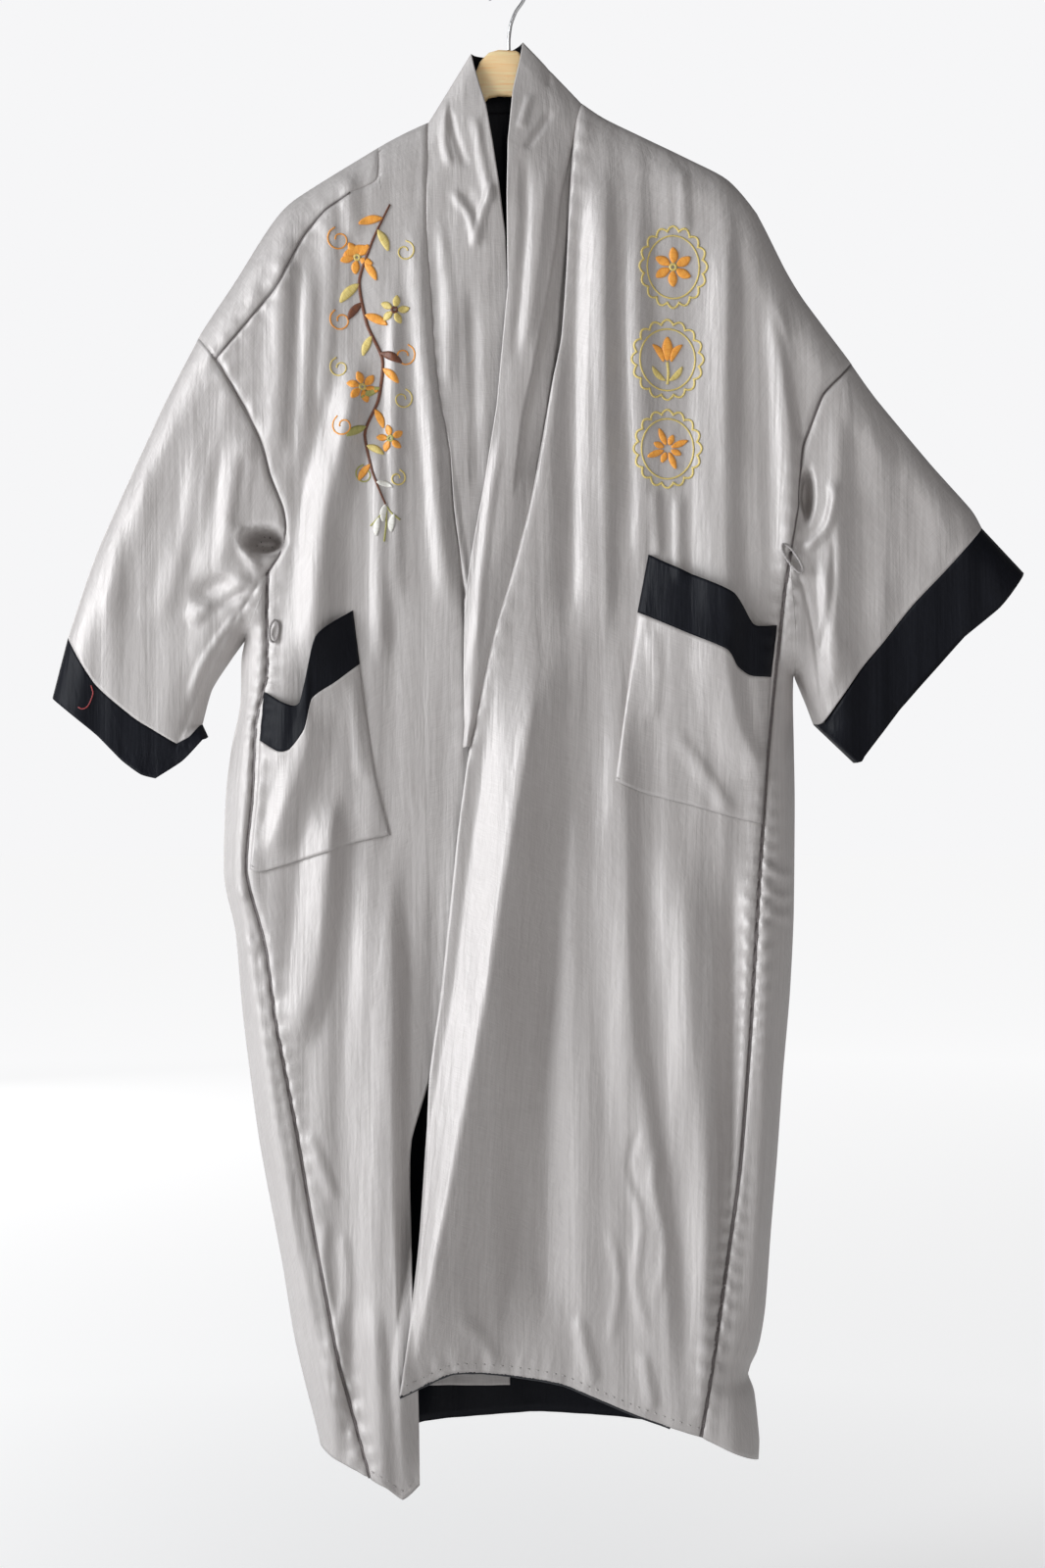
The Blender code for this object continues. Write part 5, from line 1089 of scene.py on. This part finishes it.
def leaf(base, tip, wide, bend, depth_of):
    """A filled petal or leaf of satin stitch from its base to its tip."""
    base = np.array(base, dtype=float)
    tip = np.array(tip, dtype=float)
    way = tip - base
    middle = base + 0.5 * way + np.array((-way[1], way[0])) * bend
    share = np.linspace(0.0, 1.0, 10)[:, None]
    line = (1 - share) ** 2 * base + 2 * share * (1 - share) * middle + share ** 2 * tip
    plump = np.sin(math.pi * np.clip(share[:, 0] * 0.94 + 0.03, 0, 1)) ** 0.75
    return ribbon(line, 0.5 * wide * np.clip(plump, 0.05, 1.0), 0.9, depth_of)


def blossom(centre, size, count, turn, wide, depth_of):
    """The petals of one flower, all round its middle."""
    centre = np.array(centre)
    angles = [turn + 2.0 * math.pi * k / count for k in range(count)]
    ways = [np.array((math.cos(angle), math.sin(angle))) for angle in angles]
    return [leaf(centre + way * size * 0.2, centre + way * size, wide, 0.1, depth_of) for way in ways]


def around(centre, radius_x, radius_y, turns):
    """Points round a centre at these turns, with one radius for all or one for each."""
    return [(centre[0] + rx * math.cos(t), centre[1] + ry * math.sin(t))
            for t, rx, ry in np.broadcast(turns, radius_x, radius_y)]


def dashes(line, pitch, length, wide, depth_of):
    """Short running stitches along a flat line."""
    whole = float(step_lengths(line).sum())
    found = []
    for k in range(int(whole / pitch)):
        start = (k + 0.2) * pitch / whole
        spots = along(line, np.linspace(start, min(start + length / whole, 1.0), 3))
        way = spots[2] - spots[0]
        way = way / max(np.linalg.norm(way), 1e-9)
        out = np.array((-way[1], way[0])) * wide * 0.5
        flat = spots[:, None] + out[None, None] * np.array((-1.0, 0.0, 1.0))[None, :, None]
        base = depth_of(flat.reshape(-1, 2)).reshape(3, 3)
        rise = np.array((0.0, 0.35, 0.0))[:, None] + np.array((0.0, 0.2, 0.0))[None]
        found.append((place(flat, base + WALL * 0.5 + STITCH_LIFT + rise), False))
    return found


def lowered(line, shift):
    """The same line, moved down on the drawing."""
    return tuple((x, y + shift) for x, y in line)


def on_pocket(panel_depth):
    """The pocket's height near its sewn bottom edge."""
    return lambda flat: panel_depth(flat) + POCKET_STAND - 1.0


# Threads: the piece's key, the material's name, a dark and a light tone and the stitch in mm.
THREADS = {key: thread_material(*row) for key, *row in (
    ("orange", "orange_thread", (0.86, 0.30, 0.03), (1.0, 0.46, 0.07), 0.9),
    ("yellow", "yellow_thread", (0.66, 0.50, 0.13), (0.84, 0.68, 0.25), 0.9),
    ("rust", "rust_thread", (0.10, 0.03, 0.015), (0.20, 0.06, 0.02), 0.9),
    ("green", "olive_thread", (0.33, 0.32, 0.08), (0.50, 0.47, 0.15), 0.9),
    ("white", "white_thread", (0.72, 0.70, 0.64), (0.90, 0.88, 0.82), 0.9),
    # dark: the seam thread, darkened to paint the shade in the seam grooves
    ("dark", "seam_thread_and_painted_shade", (0.10, 0.085, 0.085), (0.17, 0.145, 0.14), 1.2),
    ("black", "lining_edge", (0.004, 0.005, 0.008), (0.012, 0.013, 0.02), 1.2),
    ("grey", "grey_thread", (0.40, 0.38, 0.37), (0.56, 0.53, 0.52), 1.2),
    ("red", "red_thread", (0.30, 0.02, 0.03), (0.42, 0.04, 0.04), 1.2))}
spray = {key: [] for key in THREADS}
TURNS = np.linspace(0.0, 2.0 * math.pi, 13)

# The trailing branch on the viewer's left: a stem, side leaves and four flowers.
BRANCH = ((399, 214), (382, 250), (368, 292), (376, 336), (392, 372), (388, 412), (374, 446),
          (382, 486), (396, 520))
spray["rust"].append(strip(BRANCH, 3.2, 0.9, front_depth, 60, 0.5))
for share, side_way, size, colour in (
        (0.05, 1, 25, "orange"), (0.09, -1, 24, "yellow"), (0.15, 1, 28, "orange"), (0.20, -1, 22, "orange"),
        (0.27, 1, 27, "yellow"), (0.33, 1, 22, "rust"), (0.37, -1, 25, "orange"), (0.44, 1, 22, "yellow"),
        (0.50, -1, 24, "rust"), (0.55, -1, 22, "orange"), (0.61, 1, 22, "green"), (0.68, -1, 21, "orange"),
        (0.74, 1, 22, "green"), (0.80, -1, 20, "yellow"), (0.86, 1, 20, "orange"), (0.92, -1, 17, "white")):
    root, ahead = along(BRANCH, np.array((share, min(share + 0.03, 1.0))))
    way = (ahead - root) / np.linalg.norm(ahead - root)
    out = np.array((-way[1], way[0])) * side_way
    tip = root + (way * 0.62 + out * 0.78) * size
    spray[colour].append(leaf(root, tip, size * 0.36, 0.12 * side_way, front_depth))
for centre, size, count, turn, colour, heart in (
        ((366, 268), 17, 5, 0.4, "orange", "yellow"), ((404, 322), 15, 5, 1.1, "yellow", "rust"),
        ((372, 400), 16, 6, 0.2, "orange", "yellow"), ((400, 452), 14, 5, 0.7, "orange", "green")):
    spray[colour] += blossom(centre, size, count, turn, size * 0.5, front_depth)
    spray[heart].append(strip(around(centre, 2.6, 2.6, TURNS), 2.6, 1.3, front_depth, 14))
for shift_x, shift_y in ((0, 0), (8, 10), (-7, 14)):
    spray["white"].append(leaf((396 + shift_x, 518 + shift_y), (393 + shift_x, 536 + shift_y), 7, 0.15,
                               front_depth))
for bend, foot in ((0.2, (380, 540)), (-0.2, (410, 534)), (0.1, (394, 556))):
    middle = ((396 + foot[0]) / 2 + 10 * bend, (520 + foot[1]) / 2)
    spray["green"].append(strip(((396, 520), middle, foot), 1.6, 0.5, front_depth, 12))

# Fine curling lines round the branch.
for colour, centre, size, begin, sense in (
        ("orange", (348, 250), 13, 4.4, 1), ("yellow", (414, 262), 11, 4.8, -1), ("orange", (350, 332), 12, 4.2, 1),
        ("orange", (414, 368), 12, 5.0, -1), ("yellow", (349, 380), 11, 4.4, 1), ("yellow", (412, 412), 11, 5.0, -1),
        ("orange", (353, 440), 12, 4.2, 1), ("green", (374, 488), 10, 4.6, 1), ("yellow", (407, 492), 9, 5.0, -1)):
    t = np.linspace(0.0, 1.0, 15)
    radius = size * (1.0 - 0.72 * t)
    curl = around(centre, radius, radius, begin - sense * 7.6 * t)
    spray[colour].append(strip(curl, 1.3, 0.5, front_depth, 44))

# Three scalloped wreaths on the viewer's right, each with its own small device.
RINGS = (((685, 278), 33, 40), ((679, 372), 35, 39), ((679, 462), 33, 38))
SCALLOPS = 16
for centre, wide, tall in RINGS:
    for k in range(SCALLOPS):
        steps = np.arange(7)
        swell = 0.90 + 0.14 * np.sin(math.pi * steps / 6.0)
        turns = 2.0 * math.pi * (k - 0.55) / SCALLOPS + 2.0 * math.pi * 1.1 / SCALLOPS * steps / 6.0
        arc = around(centre, wide * swell, tall * swell, turns)
        spray["yellow"].append(strip(arc, 1.9, 0.6, left_front_depth, 10))
    loop = around(centre, wide * 0.80, tall * 0.80, np.linspace(0.0, 2.0 * math.pi, 25))
    spray["yellow"].append(strip(loop, 1.5, 0.5, left_front_depth, 48))
(flower, _, _), ((bud_x, bud_y), _, _), ((star_x, star_y), _, _) = RINGS
spray["orange"] += blossom(flower, 20, 6, 0.5, 9.5, left_front_depth)
spray["yellow"].append(strip(around(flower, 3.0, 3.0, TURNS), 3.0, 1.4, left_front_depth, 14))
stem = ((bud_x, bud_y + 2), (bud_x + 1, bud_y + 14), (bud_x, bud_y + 25))
spray["yellow"].append(strip(stem, 2.6, 0.8, left_front_depth, 12))
for colour, foot, tip, wide, bend in (
        ("orange", (0, 1), (0, -23), 11, 0.0), ("orange", (-4, 2), (-15, -15), 7, 0.24),
        ("orange", (4, 2), (15, -15), 7, -0.24), ("yellow", (-2, 21), (-15, 7), 6.0, -0.18),
        ("yellow", (2, 21), (15, 7), 6.0, 0.18)):
    spray[colour].append(leaf((bud_x + foot[0], bud_y + foot[1]), (bud_x + tip[0], bud_y + tip[1]), wide, bend,
                              left_front_depth))
for k in range(8):
    way = np.array((math.cos(math.pi * (k + 0.5) / 4.0), math.sin(math.pi * (k + 0.5) / 4.0)))
    size = 22 if k % 2 else 15
    spray["orange"].append(leaf((star_x, star_y) + 4 * way, (star_x, star_y) + size * way, 6.5, 0.0,
                                left_front_depth))

# Running stitches, dark strips along the seams that paint the grooves' shade over their thread, and the lining's
# edge under the outer front's hem.
spray["grey"] += dashes(lowered(LEFT_POCKET_FOOT, -4.0), 5.6, 3.6, 1.2, on_pocket(left_front_depth))
spray["grey"] += dashes(lowered(RIGHT_POCKET_FOOT, -4.0), 5.6, 3.6, 1.2, on_pocket(front_depth))
spray["grey"] += dashes(lowered(LEFT_HEM, -9.0), 9.0, 3.0, 1.0, left_front_depth)
spray["grey"] += dashes(lowered(RIGHT_HEM, -9.0), 9.0, 3.0, 1.0, front_depth)
spray["red"].append(strip(((97, 700), (99, 708), (96, 717), (93, 722), (88, 724), (84, 722)), 0.9, 0.4,
                          front_depth, 18))
# Dark strips along the side, shoulder and armhole seams: painted groove shade over the seam thread.
for line, wide, steps in ((RIGHT_SIDE_SEAM, 3.0, 240), (LEFT_SIDE_SEAM, 3.2, 240), (RIGHT_SHOULDER[:-3], 1.2, 90),
                          (RIGHT_ARMHOLE, 1.7, 90), (LEFT_ARMHOLE, 1.7, 90)):
    spray["dark"].append(strip(line, wide, 0.0, lambda flat: front_depth(flat) + 0.5, steps))
spray["black"].append(strip(lowered(LEFT_HEM[1:], 0.4), 2.6, 0.3, lambda flat: left_front_depth(flat) - 0.6, 120))
THREAD_PIECES = []
for key, grids in spray.items():
    THREAD_PIECES.append((shell(key + "_needlework", grids, THREAD_WALL, THREADS[key], THREADS[key]), key))


def twisted_loop(name, centre, wide, high, tilt, stand, depth_of, material):
    """A closed thread loop of two strands twisted round each other."""
    turns = np.linspace(0.0, 2.0 * math.pi, 97)
    x = 0.5 * wide * np.cos(turns)
    y = 0.5 * high * np.sin(turns)
    flat = np.stack([centre[0] + x * math.cos(tilt) - y * math.sin(tilt),
                     centre[1] + x * math.sin(tilt) + y * math.cos(tilt)], axis=1)
    middle = place(flat, np.max(depth_of(flat)) + stand)
    way = np.gradient(middle, axis=0)
    way[0] = way[-1] = middle[1] - middle[-2]
    way /= np.linalg.norm(way, axis=1)[:, None]
    lean = np.array(((0.0, 1.0, 0.0),))
    out = np.cross(way, lean)
    sides = np.linspace(0.0, 2.0 * math.pi, 9)[None, :-1, None]
    points = []
    faces = []
    for phase in (14.0 * turns[:, None], 14.0 * turns[:, None] + math.pi):
        core = middle + STRAND * 0.5 * (out * np.cos(phase) + lean * np.sin(phase))
        tube = core[:, None] + 0.62 * STRAND * (out[:, None] * np.cos(sides) + lean[:, None] * np.sin(sides))
        ring = tube[:-1]
        index = np.arange(ring.shape[0] * ring.shape[1]).reshape(ring.shape[:2]) + sum(map(len, points))
        nexts = np.roll(index, -1, axis=0)
        points.append(ring.reshape(-1, 3))
        faces += np.stack([index, np.roll(index, -1, axis=1), np.roll(nexts, -1, axis=1), nexts],
                          axis=2).reshape(-1, 4).tolist()
    item = smooth_piece(name, np.concatenate(points), faces, (material,))
    bpy.ops.object.select_all(action="DESELECT")
    item.select_set(True)
    bpy.context.view_layer.objects.active = item
    bpy.ops.object.mode_set(mode="EDIT")
    bpy.ops.mesh.select_all(action="SELECT")
    bpy.ops.mesh.normals_make_consistent(inside=False)
    bpy.ops.object.mode_set(mode="OBJECT")
    return item


hanger_piece = hanger_wood()
hanger_piece.data.materials.append(wood_material())
hook_piece = hanger_hook()
hook_piece.data.materials.append(steel_material())
LOOP_THREAD = satin("loop_thread", (0.30, 0.28, 0.275), (0.52, 0.49, 0.48), 0.5, 0.1, 0.2, 0.1)
loop_right = twisted_loop("thread_loop_right", (283, 646), 9, 22, 0.1, 1.6, front_depth, LOOP_THREAD)
loop_left = twisted_loop("thread_loop_left", (804, 573), 10, 34, -0.6, 0.9, left_front_depth, LOOP_THREAD)
for piece, cad_node in ((hanger_piece, "hanger_wood"), (hook_piece, "hanger_hook"),
                        (loop_right, "belt_loop_right"), (loop_left, "belt_loop_left")):
    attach(piece, "root")
    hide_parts(cad_node)
for piece, key in THREAD_PIECES:
    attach(piece, "root")

SHEETS = (
    (front_left, "front_left", (0.35, 1.30), 0.33),
    (front_right, "front_right", (0.22, 1.32), 0.185),
    (back_left, "back_left", (0.36, 1.34), 0.38),
    (back_right, "back_right", (0.38, 1.34), 0.39),
    (sleeve_left, "sleeve_left", (0.32, 0.26), 0.074),
    (sleeve_right, "sleeve_right", (0.34, 0.30), 0.093),
    (cuff_left, "cuff_left", (0.50, 0.060), None),
    (cuff_right, "cuff_right", (0.27, 0.053), None),
    (collar, "collar", (0.05, 1.42), None),
    (back_lining, "back_lining", (0.31, 1.27), 0.36),
    (lining_patch, "lining_patch", (0.084, 0.024), None),
    (pocket_left, "pocket_left", (0.14, 0.15), None),
    (pocket_right, "pocket_right", (0.125, 0.13), None),
    (pocket_band_left, "pocket_band_left", (0.135, 0.054), None),
    (pocket_band_right, "pocket_band_right", (0.10, 0.050), None),
)
for piece, cad_node, cut, area in SHEETS:
    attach(piece, "root")
    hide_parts(cad_node)

# Camera, soft lights and a plain pale floor.
camera_data = bpy.data.cameras.new("camera")
camera_data.lens = 62.9
camera_data.sensor_width = 36.0
camera_data.sensor_fit = "AUTO"
camera = bpy.data.objects.new("camera", camera_data)
camera.location = (0.013, -2.6, -0.767)
camera.rotation_euler = (math.pi / 2.0, 0.0, 0.0)
bpy.context.scene.collection.objects.link(camera)
bpy.context.scene.camera = camera
LIGHT_AIM = (0.0, 0.0, -0.75)
FLOOR_LEVEL = -1.62    # m


def area_light(name, place_at, size, power, colour):
    """A soft rectangular light turned toward the middle of the robe."""
    light = bpy.data.lights.new(name, "AREA")
    light.shape = "RECTANGLE"
    light.size, light.size_y = size
    light.energy = power
    light.color = colour
    item = bpy.data.objects.new(name, light)
    item.location = place_at
    way = np.array(LIGHT_AIM) - np.array(place_at)
    pitch = math.atan2(math.hypot(way[0], way[1]), -way[2])
    item.rotation_euler = (pitch, 0.0, math.atan2(way[1], way[0]) - math.pi / 2.0)
    bpy.context.scene.collection.objects.link(item)


def by_ray(tree, other, seen):
    """One value where the camera looks straight at a surface, another for all other light."""
    path = node(tree, "ShaderNodeLightPath", {})
    return ranged(tree, path.outputs["Is Camera Ray"], 0.0, 1.0, other, seen)


area_light("key", (-4.0, -1.85, 0.3), (2.2, 3.4), 205.0, (0.94, 0.97, 1.0))
area_light("front", (0.6, -3.4, 0.5), (1.6, 1.6), 10.0, (1.0, 0.965, 0.93))
area_light("side", (2.5, -0.9, -0.3), (0.4, 1.8), 1.5, (0.98, 0.96, 1.0))
area_light("rear", (-2.6, 4.4, 0.0), (2.0, 2.4), 34.0, (1.0, 0.99, 0.97))
bpy.context.scene.view_settings.view_transform = "Standard"
world = bpy.data.worlds.new("studio")
bpy.context.scene.world = world
world.use_nodes = True
set_inputs(world.node_tree, world.node_tree.nodes["Background"], {
    "Color": (0.95, 0.95, 0.96, 1.0), "Strength": by_ray(world.node_tree, 0.12, 0.97)})

bpy.ops.object.select_all(action="DESELECT")
bpy.ops.mesh.primitive_plane_add(size=60.0, location=(0.0, 0.0, FLOOR_LEVEL))
floor = bpy.context.object
floor.name = "floor"
bpy.ops.object.transform_apply(location=True, rotation=True, scale=True)
# The floor glows less near the robe, a painted shade round it, and more far off like the sky, so no edge shows.
floor_material, tree, shader = tree_of("floor_pale")
spot = node(tree, "ShaderNodeTexCoord", {}).outputs["Object"]
plan = node(tree, "ShaderNodeVectorMath", {0: spot, 1: (1.0, 1.0, 0.0)}, operation="MULTIPLY").outputs["Vector"]
away = node(tree, "ShaderNodeVectorMath", {0: plan}, operation="LENGTH").outputs["Value"]
# Dimmer glow within 1.4 m of the robe: painted shade round its foot.
glow_with_painted_shade = calculated(tree, "ADD", ranged(tree, away, 0.3, 1.4, 0.5, 0.66), ranged(tree, away, 1.4, 6.0, 0.0, 0.207))
set_inputs(tree, shader, {
    "Base Color": (0.62, 0.62, 0.62, 1.0), "Roughness": 0.9, "Specular IOR Level": 0.1,
    "Emission Color": (0.98, 0.98, 0.985, 1.0),
    "Emission Strength": calculated(tree, "MULTIPLY", glow_with_painted_shade, by_ray(tree, 0.55, 1.0))})
floor.data.materials.append(floor_material)
